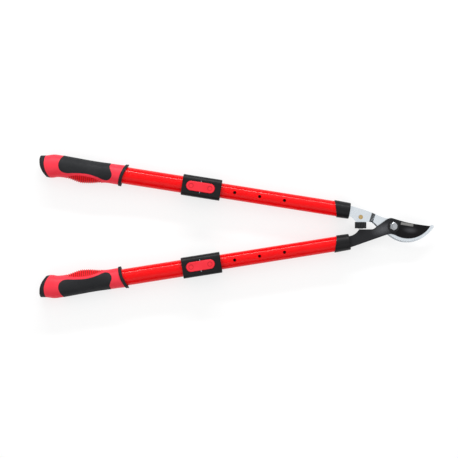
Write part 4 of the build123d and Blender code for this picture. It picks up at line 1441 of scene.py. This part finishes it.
@dataclass(frozen=True)
class Studio:
    """The pale table, the soft lights and the camera, in metres.

    Attributes:
        middle: The middle of the view on the table.
        view_width: How wide the view is at the tool's height.
        camera_height: The camera's height over the origin.
        sensor: The camera's sensor width in millimetres.
        floor_size: The table's size.
        floor_grey: How pale the table is.
        floor_glow: How strongly it glows, as a light table does.
        sky_light: How bright the sky is from the horizon, at 0, to overhead, at 1.
        sky_strength: What all of that is multiplied by.
        gap: The direction of a dark gap between the softboxes.
        gap_edge: The cosines at the gap's outer and inner edge.
        gap_light: How much light is left in it.
        strip_at: Where the side lamp hangs, from the middle of the view.
        strip_size: Its width and height.
        strip_power: Its power in watts.
    """

    middle: Point = (-0.2947, -0.0048)
    view_width: float = 0.8244
    camera_height: float = 3.0
    sensor: float = 36.0
    floor_size: float = 30.0
    floor_grey: float = 0.3
    floor_glow: float = 0.7
    sky_light: tuple[Span, ...] = ((0.0, 0.06), (0.32, 0.12), (0.6, 1.0), (0.84, 1.0), (0.97, 0.6))
    sky_strength: float = 1.3
    gap: Place = (0.75, -0.237, 0.616)
    gap_edge: Span = (0.90, 0.97)
    gap_light: float = 0.05
    strip_at: Place = (0.0, 1.5, 0.75)
    strip_size: Span = (1.6, 0.10)
    strip_power: float = 20.0

    def floor(self) -> None:
        """Lays the pale table just under the tool."""
        low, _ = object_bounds()
        Bench.hold(None)
        bpy.ops.mesh.primitive_plane_add(size=self.floor_size, location=(*self.middle, low[2]))
        table = bpy.context.object
        table.name = "table"
        paint = bpy.data.materials.new("pale table")
        NodeTree(paint).fix(
            Base_Color=(self.floor_grey,) * 3,
            Roughness=0.9,
            Specular_IOR_Level=0.0,
            Emission_Color=(1.0, 1.0, 1.0),
            Emission_Strength=self.floor_glow,
        )
        table.data.materials.append(paint)
        table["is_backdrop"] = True

    def lamp(self) -> None:
        """Hangs a strip lamp at the side, facing the middle of the view."""
        data = bpy.data.lights.new("side strip", "AREA")
        data.shape = "RECTANGLE"
        data.size, data.size_y = self.strip_size
        data.energy = self.strip_power
        lamp = bpy.data.objects.new("side strip", data)
        bpy.context.scene.collection.objects.link(lamp)
        middle = Vector((*self.middle, 0.0))
        lamp.location = middle + Vector(self.strip_at)
        lamp.rotation_euler = (middle - lamp.location).to_track_quat("-Z", "Y").to_euler()

    def sky(self) -> None:
        """Surrounds the table with white that fades towards the horizon, with one dark gap."""
        world = bpy.data.worlds.new("studio")
        bpy.context.scene.world = world
        nodes = NodeTree(world)
        split = nodes.add("ShaderNodeSeparateXYZ")
        nodes.join(nodes.place, split.inputs[0])
        ramp = nodes.add("ShaderNodeValToRGB")
        ramp.color_ramp.interpolation = "EASE"
        while len(ramp.color_ramp.elements) < len(self.sky_light):
            ramp.color_ramp.elements.new(0.5)
        for element, (place, light) in zip(ramp.color_ramp.elements, self.sky_light):
            element.position = place
            element.color = (light, light, light, 1.0)
        nodes.join(split.outputs["Z"], ramp.inputs["Fac"])
        gap = nodes.add("ShaderNodeVectorMath", operation="DOT_PRODUCT")
        gap.inputs[1].default_value = self.gap
        nodes.join(nodes.place, gap.inputs[0])
        shade = nodes.add("ShaderNodeMapRange")
        shade.inputs["From Min"].default_value, shade.inputs["From Max"].default_value = self.gap_edge
        shade.inputs["To Min"].default_value = 1.0
        shade.inputs["To Max"].default_value = self.gap_light
        nodes.join(gap.outputs["Value"], shade.inputs["Value"])
        shaded = nodes.add("ShaderNodeVectorMath", operation="SCALE")
        nodes.join(ramp.outputs["Color"], shaded.inputs[0])
        nodes.join(shade.outputs["Result"], shaded.inputs["Scale"])
        nodes.join(shaded.outputs["Vector"], nodes.shader.inputs["Color"])
        nodes.shader.inputs["Strength"].default_value = self.sky_strength

    def camera(self) -> None:
        """Sets the camera straight above the table."""
        data = bpy.data.cameras.new("camera")
        data.sensor_width = self.sensor
        data.lens = self.sensor * self.camera_height / self.view_width
        data.clip_end = 100.0
        camera = bpy.data.objects.new("camera", data)
        bpy.context.scene.collection.objects.link(camera)
        camera.location = (*self.middle, self.camera_height)
        bpy.context.scene.camera = camera

    def build(self) -> None:
        """Sets up the whole studio."""
        self.floor()
        self.sky()
        self.lamp()
        self.camera()
        bpy.context.scene.view_settings.view_transform = "Standard"


def main() -> None:
    """Builds the tool and its studio."""
    logging.basicConfig(level=logging.INFO, format="%(message)s")
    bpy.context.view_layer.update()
    finishes = Finishes()
    ReadyMade().dress(finishes)
    Grip().build(finishes, HandleFrame())
    Bumper().build(finishes)
    Studio().build()


if __name__ == "__main__":
    main()
